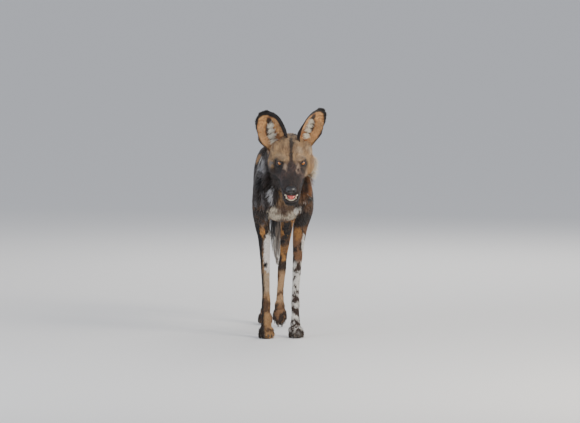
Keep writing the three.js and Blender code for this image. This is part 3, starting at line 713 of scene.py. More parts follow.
def markings(p):
    y, z = p[:, 1], p[:, 2]
    h = apply(UNHEAD, p)
    color, q = body_marks(p)
    front = smooth(10, -20, y)
    mottle = smooth(0.55, 0.6, cloud(q, 15, 66)) * front * smooth(384, 392, z) * smooth(462, 452, z)
    color = layered(
        color,
        (DARK, smooth(-60, -150, y) * 0.75),
        (TAN, smooth(0.56, 0.6, cloud(q, 60, 27)) * smooth(-60, -110, y) * 0.8),
        *((c, spot(p, *place, 50 + i) * front) for i, (*place, c) in enumerate(FRONT_SPOTS)),
        (BROWN, mottle * 0.75),
    )
    color = tail_marks(p, leg_marks(p, q, color))
    head = smooth(26, 4, h[:, 1] + 10 * (noise(p, 14, 29) - 0.5)) * (z > 440)
    return layered(color, (head_marks(h), head * smooth(-130, -100, h[:, 2])))


# Centre lines of the legs and the tail: the line, how far out it counts, and up to which height
OWN_LINES = [
    (np.array([row[:3] for row in mirrored(limb[1], limb[0])] + [limb[2]], float), 46, 395)
    for limb in LIMBS.values()
] + [(np.array(TAIL_PATH, float), 60, 580)]


def unwrap(p):
    """Places on a flat map: trunk and head round the body's line, legs and tail round their own."""
    x, y, z = p.T
    middle = np.interp(y, [-400, -120, 0], [20, 14, 0])
    level = np.interp(y, [-400, -208, -60, 70, 606], [540, 632, 570, 530, 560])
    dx, dz = x - middle, z - level
    u = (np.arctan2(dx, dz) / math.pi + 1) / 2
    run = y + 0.6 * np.hypot(dx, dz) * (1 - 2 * smooth(0, 500, y))
    place = np.stack([0.01 + 0.98 * u, 0.47 + 0.5 * np.clip((run + 420) / 1150, 0, 1)], 1)
    for i, (line, reach, height) in enumerate(OWN_LINES):
        order = np.argsort(line[:, 2])
        dx, dy = (values - np.interp(z, line[order, 2], line[order, k]) for k, values in enumerate((x, y)))
        near = (np.hypot(dx, dy) < reach) & (z < height)
        if i == len(LIMBS):
            near &= y > 612
        u = (np.arctan2(dx, dy) / math.pi + 1) / 2
        own = np.stack([0.2 * i + 0.01 + 0.18 * u, 0.02 + 0.42 * np.clip(z / 600, 0, 1)], 1)
        place[near] = own[near]
    return place


def paint(mesh, colors):
    layer = mesh.attributes.new("Mark", "FLOAT_COLOR", "POINT")
    rgba = np.ones((len(colors), 4))
    rgba[:, :3] = np.clip(colors, 0, 1)
    layer.data.foreach_set("color", rgba.ravel())


# Materials
def wire(node, given):
    """Sets each input of node to the value given, or links it to the output given."""
    for name, value in given.items():
        if isinstance(value, bpy.types.NodeSocket):
            node.id_data.links.new(value, node.inputs[name])
        else:
            node.inputs[name].default_value = value


def new_material(name):
    """A material, its node tree and its shader."""
    material = bpy.data.materials.new(name)
    material.use_nodes = True
    return material, material.node_tree, material.node_tree.nodes["Principled BSDF"]


def new_node(tree, kind, given, **settings):
    """The outputs of a new node."""
    node = tree.nodes.new("ShaderNode" + kind)
    for name, value in settings.items():
        setattr(node, name, value)
    wire(node, given)
    return node.outputs


def math_node(tree, operation, *given):
    return new_node(tree, "Math", dict(enumerate(given)), operation=operation)["Value"]


def color_ramp(tree, value, stops):
    ramp = tree.nodes.new("ShaderNodeValToRGB")
    elements = ramp.color_ramp.elements
    for i in (0, -1):
        elements[i].position = stops[i][0]
        elements[i].color = (*stops[i][1], 1)
    for position, color in stops[1:-1]:
        elements.new(position).color = (*color, 1)
    wire(ramp, {"Fac": value})
    return ramp.outputs["Color"]


def fur_material(name, roughness, grain):
    """The painted colour, broken up by a fine noise that also gives the bump."""
    material, tree, shader = new_material(name)
    mark = new_node(tree, "Attribute", {}, attribute_name="Mark")["Color"]
    place = new_node(tree, "TexCoord", {})["Object"]
    fine = new_node(tree, "TexNoise", {"Vector": place, "Scale": grain, "Detail": 5})["Fac"]
    limits = {"From Min": 0.3, "From Max": 0.7, "To Min": 0.72, "To Max": 1.2}
    light = new_node(tree, "MapRange", {"Value": fine, **limits})["Result"]
    inputs = {"Factor": 1, "A": mark, "B": light}
    color = new_node(tree, "Mix", inputs, data_type="RGBA", blend_type="MULTIPLY")["Result"]
    bump = new_node(tree, "Bump", {"Height": fine, "Strength": 0.5, "Distance": 0.0012})["Normal"]
    wire(shader, {"Base Color": color, "Normal": bump, "Roughness": roughness,
                  "Specular IOR Level": 0.3, "Sheen Weight": 0.12})
    return material


def surface(name, base, other, scale, roughness, bump, coat):
    """Two tones mixed by a noise, with bump from that noise and from cells."""
    material, tree, shader = new_material(name)
    place = new_node(tree, "TexCoord", {})["Object"]
    grain = new_node(tree, "TexNoise", {"Vector": place, "Scale": scale, "Detail": 4})["Fac"]
    cells = new_node(tree, "TexVoronoi", {"Vector": place, "Scale": scale * 2.2})["Distance"]
    height = math_node(tree, "ADD", grain, cells)
    inputs = {"Height": height, "Strength": bump, "Distance": 0.0006}
    normal = new_node(tree, "Bump", inputs)["Normal"]
    color = color_ramp(tree, grain, [(0.35, tone(*base)), (0.65, tone(*other))])
    wire(shader, {"Base Color": color, "Normal": normal, "Roughness": roughness, "Coat Weight": coat,
                  "Coat Roughness": 0.08, "Specular IOR Level": 0.5})
    return material


# Stops of the eye from its axis outwards: pupil, iris, dark rim and white
EYE_STOPS = [
    (0.0, (0.004, 0.003, 0.003)), (0.22, (0.004, 0.003, 0.003)), (0.27, (0.20, 0.05, 0.01)),
    (0.42, (0.56, 0.19, 0.012)), (0.56, (0.40, 0.12, 0.01)), (0.64, (0.06, 0.02, 0.008)),
    (0.70, (0.02, 0.012, 0.01)), (1.0, (0.10, 0.06, 0.045)),
]
EYE_STOPS_REACH = 0.0098


def eye_material():
    """Pupil, iris and rim by the distance from the axis of the eye, which is the object's Z."""
    material, tree, shader = new_material("eye")
    place = new_node(tree, "TexCoord", {})["Object"]
    split = new_node(tree, "SeparateXYZ", {"Vector": place})
    squares = [math_node(tree, "POWER", math_node(tree, "ABSOLUTE", split[axis]), 2) for axis in "XY"]
    far = math_node(tree, "SQRT", math_node(tree, "ADD", *squares))
    bearing = math_node(tree, "ARCTAN2", split["Y"], split["X"])
    spokes, rings = math_node(tree, "MULTIPLY", bearing, 9), math_node(tree, "MULTIPLY", far, 350)
    pair = new_node(tree, "CombineXYZ", {"X": spokes, "Y": rings})["Vector"]
    inputs = {"Vector": pair, "Scale": 1, "Detail": 3}
    rays = new_node(tree, "TexNoise", inputs, noise_dimensions="2D")["Fac"]
    wobble = math_node(tree, "MULTIPLY_ADD", rays, 0.0009, far)
    reach = new_node(tree, "MapRange", {"Value": wobble, "From Max": EYE_STOPS_REACH})["Result"]
    wire(shader, {"Base Color": color_ramp(tree, reach, EYE_STOPS), "Roughness": 0.12,
                  "Coat Weight": 0.5, "Coat Roughness": 0.02})
    return material


def plain(name, color, roughness):
    material, _, shader = new_material(name)
    wire(shader, {"Base Color": (*color, 1), "Roughness": roughness})
    return material


fur = fur_material("fur", 0.66, 420)
hide = fur_material("hide", 0.72, 300)
eye_finish = eye_material()
lid_finish = surface("lid", (30, 24, 22), (52, 40, 34), 900, 0.5, 0.35, 0.15)
nose_finish = surface("nose", (14, 12, 12), (32, 28, 28), 700, 0.3, 0.6, 0.4)
lip_finish = surface("lip", (24, 20, 20), (50, 38, 36), 600, 0.42, 0.4, 0.2)
tongue_finish = surface("tongue", (190, 74, 68), (214, 108, 98), 900, 0.36, 0.5, 0.3)
tooth_finish = surface("tooth", (236, 228, 208), (214, 198, 164), 160, 0.25, 0.12, 0.4)
claw_finish = surface("claw", (38, 32, 28), (92, 78, 62), 260, 0.4, 0.25, 0.2)
skin.data.materials.append(hide)
# Painted shade: the skin is painted darker than the tufts, so that it shows as depth between them
SKIN_PAINTED_SHADE = 0.8
paint(skin.data, markings(mesh_points(skin.data)) * SKIN_PAINTED_SHADE)

# Spread of each tuft's place on the map round that of its root
UV_SPREAD = 0.0014
# Painted shade and light along each tuft: its colour is darkened at the root and lightened towards the tip
ROOT_PAINTED_SHADE, TIP_PAINTED_LIGHT_GAIN = 0.62, 0.5


def strands(name, root, path, front, width, thickness, color, tip_color=None, rings=3, sides=3):
    """Many closed tapered tufts as one mesh. path: offsets from the root at each ring and the tip."""
    count = len(root)
    taper = np.interp(np.linspace(0, 1, rings), [0, 0.35, 0.75, 1], [0.7, 1, 0.66, 0.0])
    points = root[:, None] + path
    tangent = unit(np.gradient(points, axis=1))
    front = np.broadcast_to(np.asarray(front, float)[..., None, :], tangent.shape)
    face = unit(front - tangent * (front * tangent).sum(-1, keepdims=True))
    side = np.cross(face, tangent)
    angle = np.linspace(0, 2 * np.pi, sides, endpoint=False) + np.pi / 2
    c, s = np.cos(angle)[:, None], np.sin(angle)[:, None]
    broad = (np.broadcast_to(width, count)[:, None] * taper)[:, :-1, None, None]
    centre, side, face = (a[:, :-1, None] for a in (points, side, face))
    ring = centre + c * broad * side + s * (broad * thickness) * face
    verts = above_floor(np.concatenate([ring.reshape(count, -1, 3), points[:, -1:]], 1))

    each = (rings - 1) * sides + 1
    top = (rings - 2) * sides
    loops = ring_faces(rings - 1, sides)
    loops += [(top + k, top + (k + 1) % sides, each - 1) for k in range(sides)]
    loops.append(tuple(range(sides - 1, -1, -1)))
    loops = outward((verts[0] - verts[0, 0], loops))[1]
    sizes = np.tile([len(f) for f in loops], count)
    index = ((np.arange(count) * each)[:, None] + np.concatenate(loops)).ravel()
    mesh = bpy.data.meshes.new(name)
    mesh.vertices.add(count * each)
    mesh.vertices.foreach_set("co", to_row(verts.reshape(-1, 3)).ravel())
    mesh.loops.add(len(index))
    mesh.loops.foreach_set("vertex_index", index)
    mesh.polygons.add(len(sizes))
    mesh.polygons.foreach_set("loop_start", np.concatenate([[0], np.cumsum(sizes)[:-1]]))
    mesh.polygons.foreach_set("use_smooth", np.ones(len(sizes), bool))
    mesh.update(calc_edges=True)

    tip_color = color if tip_color is None else tip_color
    root_side, tip_side = (np.broadcast_to(given, (count, 3))[:, None] for given in (color, tip_color))
    share = np.append(np.repeat(np.linspace(0, 1, rings)[:-1], sides), 1.0)[None, :, None]
    mixed = root_side * (1 - share) + tip_side * share
    # Painted shade at the root of each tuft, painted light towards its tip
    paint(mesh, (mixed * (ROOT_PAINTED_SHADE + TIP_PAINTED_LIGHT_GAIN * share)).reshape(-1, 3))
    across, up = np.tile(np.cos(angle), rings - 1), np.repeat(np.linspace(-1, 0.8, rings - 1), sides)
    spread = np.concatenate([np.stack([across, up], 1), [[0, 1]]])
    uv = (unwrap(root)[:, None] + UV_SPREAD * spread[None]).reshape(-1, 2)
    layer = mesh.uv_layers.new(name="OFBake")
    layer.data.foreach_set("uv", uv[index].ravel())
    made = in_scene(name, mesh)
    made.data.materials.append(fur)
    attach(made, "root")


def lay(name, roots, normals, flow, length, width, lift, color, rings=3, sink=0.8):
    """Tufts that lie along the flow, sunk in at the root and a little lifted at the tip."""
    flow = unit(flow + rng.normal(0, 0.16, flow.shape))
    along_skin = unit(flow - normals * (flow * normals).sum(1)[:, None])
    t = np.linspace(0, 1, rings)[None, :, None]
    reach = (length * rng.uniform(0.75, 1.2, len(roots)))[:, None, None]
    rise = (lift * rng.uniform(0.6, 1.3, len(roots)))[:, None, None]
    above = rise * (t**0.8) - sink + rise * 0.2 * np.sin(np.pi * t)
    path = along_skin[:, None] * reach * t + normals[:, None] * above
    strands(name, roots, path, normals, width, 0.45, color, rings=rings)


# The coat: tufts on some of the faces of the skin, closer on the legs and the head
def steer(flow, share, direction):
    return flow * (1 - share)[:, None] + share[:, None] * direction


face_count = len(skin.data.polygons)
centres, normals, areas = np.zeros(face_count * 3), np.zeros(face_count * 3), np.zeros(face_count)
for what, values in (("center", centres), ("normal", normals), ("area", areas)):
    skin.data.polygons.foreach_get(what, values)
roots, normals = to_body(centres.reshape(-1, 3)), normals.reshape(-1, 3)
ROW_AREA_TO_BODY = 1e6
areas = areas * ROW_AREA_TO_BODY

in_head = apply(UNHEAD, roots)
hx, hy, hz = in_head.T
height = roots[:, 2]
head = smooth(36, 0, hy) * smooth(-130, -100, hz)
leg = smooth(430, 340, height) * (1 - smooth(600, 615, roots[:, 1]))
tail = smooth(608, 622, roots[:, 1])
neck_share = smooth(20, -60, roots[:, 1]) * (1 - head)
foot = smooth(60, 40, height)
muzzle = smooth(-95, -125, hy) * head
cheek = smooth(-70, -30, hy) * smooth(38, 52, np.abs(hx)) * smooth(14, -10, hz) * head
low_cheek = smooth(-90, -40, hy) * smooth(30, 50, np.abs(hx)) * smooth(10, -30, hz)
head_flow = unit(np.array([0.0, 1.0, -0.18])) @ HEAD[:3, :3].T
head_flow = steer(head_flow, 0.7 * low_cheek, HEAD[:3, :3] @ np.array([0.0, 0.3, -1.0]))
flow = np.array([0.0, 1.0, -0.34]) + np.outer(neck_share, [0, 0.0, -0.5])
flow = steer(flow, head, head_flow)
flow = steer(flow, leg, [0, 0.12, -1.0])
flow = steer(flow, foot * (height < 30), [0, -0.8, -0.4])
flow = steer(flow, tail, [0, 0.15, -1.0])
length = 15 + 7 * neck_share - 6.5 * leg - 7.5 * head - 3.3 * muzzle - 2.5 * foot + 6 * tail + 9 * cheek
length *= 1 - 0.25 * smooth(0.5, 0.7, noise(roots, 50, 61))
width = 1.5 - 0.35 * leg - 0.75 * head
lift = 3.0 - 1.4 * leg - 1.3 * head - 0.5 * muzzle + 1.8 * neck_share + 1.2 * tail + 1.6 * cheek
sink = 0.8 - 0.4 * head

jaw_place = apply(UNJAW, in_head)
mouth = (np.abs(hx) < 30) & (hy < -58) & (hz < -40)
mouth &= (jaw_place[:, 2] > -70) & (np.abs(jaw_place[:, 0]) < 33)
marks = markings(roots)
mouth &= marks[:, 0] > marks[:, 2] * 2.2
# Without tufts: the mouth, and in millimetres round the eyes, round the nose pad and under the paws
EYES_BARE, NOSE_BARE, SOLES_BARE = 14.2, 20, 5
nose_distance = radial(hx, hy + 203, hz + 17)
bare = mouth | (eye_distance(in_head) < EYES_BARE) | (nose_distance < NOSE_BARE) | (height < SOLES_BARE)
square_millimetres_a_tuft = 9.6 - 3.0 * leg - 5.8 * head
keep = (rng.random(face_count) < np.clip(areas / square_millimetres_a_tuft, 0, 1)) & ~bare
roots = roots[keep]
color = markings(roots + rng.normal(0, 1.0, roots.shape))
color *= rng.uniform(0.78, 1.2, (len(roots), 1))
order = np.argsort(roots[:, 1] + 0.001 * roots[:, 2])
tufts = [roots, *(values[keep] for values in (normals, flow, length, width, lift)), color]
TUFTS_A_PIECE = 19000
for number, start in enumerate(range(0, len(order), TUFTS_A_PIECE)):
    chosen = order[start : start + TUFTS_A_PIECE]
    lay(f"coat_{number + 1:02d}", *(values[chosen] for values in tufts),
        sink=sink[keep][chosen][:, None, None])

# Ears: a thin cup with its own short fur, pale hair inside and a fringe
EAR_OUTLINE = [0.62, 0.8, 0.93, 1.0, 1.0, 0.98, 0.89, 0.7, 0.32]
EAR_ROOT_DROP = 14
EAR_CUP = [86, 80, 70, 60, 52, 46, 40, 34, 28]
EAR_THICKNESS = [5.5, 4.4, 3.4, 2.8, 2.5, 2.3, 2.2, 2.0, 1.8]
EAR_ROWS, EAR_COLUMNS = 46, 34
# Pose of each ear: side, spin, lean, lay back, place to the side, height
EAR_POSES = {"right": (-1, 8, 23, 20, 45, 19), "left": (1, 37, 23.5, 17, 50, 33)}


def ear_points(t, v, outside):
    """t from root to tip, v from the inner edge, -1, to the outer edge, 1."""
    cup = np.radians(along(EAR_CUP, t))
    radius = EAR_HALF_WIDTH * along(EAR_OUTLINE, t) / np.sin(cup)
    thick = along(EAR_THICKNESS, t) * (1 - 0.45 * np.abs(v) ** 3) * outside
    lobe = np.where(v > 0, 7 * np.exp(-(((t - 0.3) / 0.12) ** 2)) * v**4, 0)
    drop = EAR_ROOT_DROP * np.maximum(v, 0) * (1 - t) ** 4
    height = EAR_LENGTH * t + 6 * v * v * (1 - t) - 10 * (1 - t) * v**4 - drop
    fold = 1.6 * np.exp(-(((v + 0.25) / 0.16) ** 2)) * np.sin(np.pi * np.clip(t * 1.4, 0, 1)) * (1 - outside)
    r = radius + thick
    return vectors(np.sin(v * cup) * r + lobe, r * np.cos(v * cup) - radius * np.cos(cup) - fold, height)


def ear_matrix(side, spin, lean, lay_back, base, rise):
    return (HEAD @ translation((side * base, -4, rise)) @ turn(side * lean, "Y") @ turn(-lay_back, "X")
            @ turn(side * spin, "Z") @ np.diag([side, 1.0, 1.0, 1.0]))


def ear_edge(t, v):
    """Distance from the outline of the flattened ear, in millimetres."""
    rows = np.linspace(0, 1, 41)
    half = EAR_HALF_WIDTH * along(EAR_OUTLINE, rows)
    tip = np.linspace(-1, 1, 9) * half[-1]
    line_x = np.concatenate([-half, half, tip])
    line_y = np.concatenate([rows, rows, np.ones(9)]) * EAR_LENGTH
    x, y = v * EAR_HALF_WIDTH * along(EAR_OUTLINE, t), t * EAR_LENGTH
    return radial(x[:, None] - line_x, y[:, None] - line_y).min(1)


def ear_color(t, v, outside, p):
    """Colours of the ear; p is the place in its own frame."""
    grain, fine = cloud(p, 14, 71), cloud(p, 6, 72)
    # Painted shade: hollow darkens the hollow of the cup, where shadow lies in it; patch is a real dark patch
    # near the top
    hollow = radial((t - 0.36) / 0.27, (v - 0.44 + 0.3 * t) / 0.2) + 0.6 * (grain - 0.5)
    patch = radial((t - 0.68) / 0.1, (v - 0.02) / 0.24) + 0.8 * (grain - 0.5)
    dark = np.maximum(smooth(1.15, 0.7, hollow), smooth(1.2, 0.8, patch))
    inner_side = smooth(0.3, -0.3, v)
    top = smooth(0.5, 0.85, t) * (0.35 + 0.65 * smooth(0.9, -0.1, v))
    breadth = 3.0 + np.maximum(19 * inner_side * smooth(-0.05, 0.15, t), 14 * top)
    front = layered(
        tone(142, 96, 60),
        (tone(198, 148, 96), smooth(0.35, 0.65, grain)),
        (tone(96, 62, 44), smooth(0.5, 0.62, fine) * 0.6),
        # The real dark patch, together with the painted shade in the hollow
        (tone(36, 27, 24), dark * 0.92),
        (tone(27, 22, 21), smooth(2.0, -2.0, ear_edge(t, v) - breadth + 6 * (grain - 0.5))),
    )
    back = layered(tone(42, 31, 25), (tone(80, 56, 40), smooth(0.45, 0.7, grain) * smooth(0.5, 0.1, t)))
    return np.where(np.asarray(outside)[..., None] > 0.5, back, front)


def ear_skin(name, matrix):
    """The shell: each row runs over the inside of the cup and back over its outside."""
    wide = 2 * EAR_COLUMNS
    there = np.linspace(-1, 1, EAR_COLUMNS)
    t = np.repeat(np.linspace(0, 1, EAR_ROWS), wide)
    v = np.tile(np.concatenate([there, there[::-1]]), EAR_ROWS)
    outside = np.tile(np.repeat([0.0, 1.0], EAR_COLUMNS), EAR_ROWS)
    points = ear_points(t, v, outside)
    faces = ring_faces(EAR_ROWS, wide)
    for base in (0, (EAR_ROWS - 1) * wide):
        for k in range(EAR_COLUMNS - 1):
            a, b, c, d = base + k, base + k + 1, base + wide - 2 - k, base + wide - 1 - k
            faces.append((b, a, d, c) if base == 0 else (a, b, c, d))
    ear = mesh_object(f"ear_skin_{name}", outward((apply(matrix, points), faces)))
    paint(ear.data, ear_color(t, v, outside, points))
    ear.data.materials.append(hide)
    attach(ear, "root")
    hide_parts(f"ear_{name}")


def ear_tufts(name, matrix, t, v, outside, length, lift, color, flow, width, rings=3):
    """Tufts at t, v; flow is a direction in the ear's own frame."""
    step = 0.02
    before, after = (ear_points(np.clip(t + d, 0, 1), v, outside) for d in (-step, step))
    inner, outer = (ear_points(t, np.clip(v + d, -1, 1), outside) for d in (-step, step))
    normal = unit(np.cross(outer - inner, after - before))
    normal *= (np.sign(normal[:, 1]) * (1.0 if outside else -1.0))[:, None]
    turned = matrix[:3, :3].T
    roots = apply(matrix, ear_points(t, v, outside))
    lay(name, roots, normal @ turned, flow @ turned, length, width, lift, color, rings=rings)


for ear_name, pose in EAR_POSES.items():
    matrix = ear_matrix(*pose)
    ear_skin(ear_name, matrix)

    # short fur on both faces
    many = 5200
    t, v = rng.uniform(0.0, 0.99, many), rng.uniform(-0.99, 0.99, many)
    upwards = vectors(0.35 * v, 0.0, 1.0)
    for face, outside, darkest, length, lift, width in (
        ("back", 1.0, 0.8, 7.5, 1.0, 1.0), ("front", 0.0, 0.75, 6.0, 0.8, 0.8),
    ):
        color = ear_color(t, v, outside, ear_points(t, v, outside)) * rng.uniform(darkest, 1.25, (many, 1))
        ear_tufts(f"ear_{face}_{ear_name}", matrix, t, v, outside, length, lift, color, upwards, width)

    # long pale hair that fans out of the hollow towards the inner edge, in four bunches
    many = 460
    bunch = rng.integers(0, 4, many)
    t = 0.15 + 0.115 * bunch + rng.normal(0, 0.02, many)
    v = 0.5 - 0.1 * bunch + rng.normal(0, 0.09, many)
    pale = tone(250, 240, 220) * rng.uniform(0.8, 1.25, (many, 1))
    fan = vectors(-1.0, 0.0, 0.3 + (rng.normal(0, 0.22, many) + 0.35 * (bunch - 1.2)))
    ear_tufts(f"ear_hair_{ear_name}", matrix, t, v, 0.0, rng.uniform(12, 27, many),
              rng.uniform(1.5, 6.0, many), pale, fan, rng.uniform(0.35, 0.75, many), rings=5)

    # short hair along both edges
    many = 500
    t = rng.uniform(0.02, 0.6, many)
    v = np.where(rng.random(many) < 0.3, rng.uniform(-0.55, -0.4, many), rng.uniform(0.6, 0.95, many))
    warm = tone(206, 160, 112) * rng.uniform(0.7, 1.15, (many, 1))
    inwards = vectors(-0.6 * np.sign(v), 0.0, 0.8)
    ear_tufts(f"ear_edge_{ear_name}", matrix, t, v, 0.0, rng.uniform(7, 12, many), 2.0, warm, inwards,
              0.8, rings=4)


# Tail brush and ruff
def lock_field(name, root, tip, bow, width, color, tip_color):
    """Longer locks from root to tip, each bent along its bow."""
    t = np.linspace(0, 1, 6)[None, :, None]
    path = (tip - root)[:, None] * t + bow[:, None] * np.sin(np.pi * t**0.8)
    strands(name, root, path, bow, width, 0.36, color, tip_color=tip_color, rings=6, sides=4)


many = 2600
t = rng.uniform(0.36, 0.97, many)
to = np.minimum(1.0, t + rng.uniform(0.1, 0.2, many))
angle = rng.uniform(0, 2 * np.pi, many)
out = vectors(np.cos(angle), np.sin(angle), 0.0)
root = along(TAIL_PATH, t) + out * (along(TAIL_CORE, t) * 0.6)[:, None]
reach = along(BRUSH_REACH, to) * rng.uniform(0.3, 1.02, many) ** 0.6
tip = along(TAIL_PATH, to) + out * np.maximum(reach, 3)[:, None]
streak = noise(vectors(angle * 14, t * 120, 0.0), 9, 81)
color = tail_marks(along(TAIL_PATH, t) + [0, 5, 0], BLACK)
color = layered(color, (tone(120, 108, 98), smooth(0.55, 0.7, streak) * 0.8))
color *= rng.uniform(0.7, 1.15, (many, 1))
bow = out * rng.uniform(4, 9, (many, 1))
lock_field("tail_locks", root, tip, bow, rng.uniform(1.3, 3.0, many), color, color * 1.1)

# Fields of the ruff: locks, a line of roots from and to, throw, colour and other colour
RUFF = [
    (900, (80, -152, 612), (74, -112, 556), (34, 32, -20), tone(238, 224, 198), tone(214, 184, 146)),
    (200, (74, -118, 556), (66, -88, 506), (28, 32, -30), tone(150, 100, 60), DARK),
    (170, (66, -128, 560), (44, -74, 500), (22, 26, -38), tone(132, 88, 54), DARK),
    (240, (-38, -152, 606), (-42, -90, 515), (-22, 40, -28), DARK, tone(120, 116, 116)),
    (200, (60, -110, 662), (64, -40, 610), (14, 44, -20), DARK, TAN),
    (200, (-34, -110, 662), (-54, -40, 610), (-14, 44, -20), DARK, BROWN),
]
for number, (many, start, end, throw, one, other) in enumerate(RUFF):
    start, end, throw = (np.array(p, float) for p in (start, end, throw))
    root = start + (end - start) * rng.random((many, 1)) + np.clip(rng.normal(0, 6, (many, 3)), -10, 10)
    tip = root + throw * rng.uniform(0.55, 1.1, (many, 1)) + np.clip(rng.normal(0, 4, (many, 3)), -7, 7)
    bow = np.array([np.sign(throw[0]), 0.1, 0.25]) * rng.uniform(2, 7, (many, 1))
    color = layered(one, (other, smooth(0.45, 0.7, noise(root, 22, 90 + number))))
    color = color * rng.uniform(0.75, 1.15, (many, 1))
    lock_field(f"ruff_{number + 1}", root, tip, bow, rng.uniform(0.7, 1.7, many), color * 0.8, color)


def add(name, forms, material, slot, *nodes):
    made = mesh_object(name, joined([outward(f) for f in forms]))
    made.data.materials.append(material)
    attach(made, "root")
    if nodes:
        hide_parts(*nodes)


# Eyes: a ball with a raised cornea, turned to the viewer, in lids that leave an almond opening
CORNEA_DEGREES = 36
GAZE = (0.03, -1.0, 0.03)


def eye_ball():
    across, down = 48, 40
    points = []
    for i in range(down + 1):
        polar = math.pi * i / down
        bulge = max(0.0, 1 - (polar / rad(CORNEA_DEGREES)) ** 2)
        r = EYE_RADIUS * max(math.sin(polar), 0.001)
        for k in range(across):
            a = 2 * math.pi * k / across
            points.append((r * math.cos(a), r * math.sin(a), (EYE_RADIUS + bulge) * math.cos(polar)))
    faces = turned_over(ring_faces(down + 1, across))
    faces += [tuple(range(across)), tuple(range((down + 1) * across - 1, down * across - 1, -1))]
    return np.array(points), faces


def axes_to(direction, upward):
    z = unit(np.array(direction, float))
    x = unit(np.cross(np.array(upward, float), z))
    matrix = np.eye(4)
    matrix[:3, 0], matrix[:3, 1], matrix[:3, 2] = x, np.cross(z, x), z
    return matrix


# Lids, in degrees from the axis of the eye: half width and half heights of the opening, and the rim
LID_WIDTH, LID_UPPER, LID_LOWER, LID_END = 38, 26, 22, 82.0
LID_TILT = 14
LID_AROUND, LID_ROWS = 72, 12
# Profile of the rim: step outwards in degrees, height over the eyeball in millimetres
LID_PROFILE = [(0.0, 0.25), (-0.8, 0.5), (-0.9, 0.9), (0.0, 1.25), (5, 1.5)]


def lid_shell():
    """A skin round the eyeball about +Z, with an almond opening, thick at its rim."""
    angle = np.linspace(0, 2 * np.pi, LID_AROUND, endpoint=False)
    c, s = np.cos(angle), np.sin(angle)
    high = np.where(s > 0, LID_UPPER, LID_LOWER)
    opening = 1 / ((np.abs(c) / LID_WIDTH) ** 1.5 + (np.abs(s) / high) ** 1.5) ** (1 / 1.5)
    shares = np.arange(1, LID_ROWS + 1) / LID_ROWS
    shells = [(opening + step, lift) for step, lift in LID_PROFILE]
    shells += [((opening + 4) * (1 - share) + LID_END * share, 1.5 - share) for share in shares]
    shells.append((np.full(LID_AROUND, LID_END), 0.25))
    shells += [((opening + 2) * (1 - share) + LID_END * share, 0.25) for share in shares[::-1]]
    rows = []
    for degrees, lift in shells:
        polar = np.radians(degrees)
        rows.append(vectors(np.sin(polar) * c, np.sin(polar) * s, np.cos(polar)) * (EYE_RADIUS + lift))
    return np.concatenate(rows), turned_over(ring_faces(len(rows), LID_AROUND, closed=True))


eye_points, eye_faces = eye_ball()
for name, side in (("right", -1), ("left", 1)):
    place = HEAD @ translation(eye_place(side))
    gaze = UNHEAD[:3, :3] @ np.array(GAZE)
    eye_matrix = place @ axes_to(gaze, (0, 0, 1))
    eye_matrix[:3, 3] = to_row(eye_matrix[:3, 3])
    eyeball = in_scene(f"eyeball_{name}", smooth_mesh(f"eyeball_{name}", eye_points / 1000, eye_faces))
    eyeball.matrix_world = Matrix(eye_matrix.tolist())
    eyeball.data.materials.append(eye_finish)
    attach(eyeball, "root")
    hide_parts(f"eye_{name}")
    lid_matrix = place @ axes_to((side * 0.30, -0.86, 0.42), (0, 0, 1)) @ turn(side * LID_TILT, "Z")
    add(f"lids_{name}", [moved(lid_matrix, lid_shell())], lid_finish, "face_fur")

# Nose pad, with its nostrils, the slits beside them and the groove down its front cut out
NOSE_VOXEL = 0.0007
pad_forms = [
    ball((0, -199, -15), (17, 14.5, 11)), ball((-9, -203, -19), (8.7, 8.6, 7.6)),
    ball((9, -203, -19), (8.7, 8.6, 7.6)), ball((0, -205, -25), (4.2, 6.8, 8)),
]
nose = remeshed("nose_pad", joined([outward(moved(HEAD, f)) for f in pad_forms]), NOSE_VOXEL)
nose_points = mesh_points(nose.data)
set_points(nose.data, relax(nose.data, nose_points, np.ones(len(nose_points)), 6))
nose_cuts = []
for side in (-1, 1):
    nose_cuts.append(ball((side * 8.0, -213, -17.5), (3.6, 7, 3.0), across=20, down=14))
    nose_cuts.append(ball((side * 13.0, -210, -20), (5.2, 6, 1.4), (0, side * 24, side * 28), 20, 14))
nose_cuts.append(ball((0, -214, -22), (0.7, 3.5, 8), across=12, down=10))
carve(nose, [moved(HEAD, form) for form in nose_cuts])
nose.data.polygons.foreach_set("use_smooth", np.ones(len(nose.data.polygons), bool))
nose.data.materials.clear()
nose.data.materials.append(nose_finish)
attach(nose, "root")
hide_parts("nose")


# Mouth: teeth, tongue and a dark lip along each edge
def peg(x, y, level, up, height, radius, lean=0.0):
    return loft(
        [(x, y, level - up * 5, radius * 0.9, radius * 0.8, radius * 0.8),
         (x, y, level, radius, radius * 0.85, radius * 0.85),
         (x, y - lean * 0.4, level + up * height * 0.5, radius * 0.78, radius * 0.66, radius * 0.66),
         (x, y - lean, level + up * height, radius * 0.12, radius * 0.12, radius * 0.12)],
        10, 12, front=(0, 1, 0))


def tooth_row(front, canine, up, level, canine_height):
    """Three front teeth, a canine and four cheek teeth on each side; up is 1 for the lower row."""
    row = []
    for side in (-1, 1):
        for i in range(3):
            row.append(peg(side * (2.1 + i * 4.1), front + i * i * 1.2, level, up, 5.6, 2.1))
        row.append(peg(side * canine, front + 9, level, up, canine_height, 3.1, lean=2.5))
        for i in range(4):
            row.append(peg(side * (canine + 2.5 + i * 1.9), front + 22 + i * 12, level, up, 6.5 + i, 4.6))
    return row


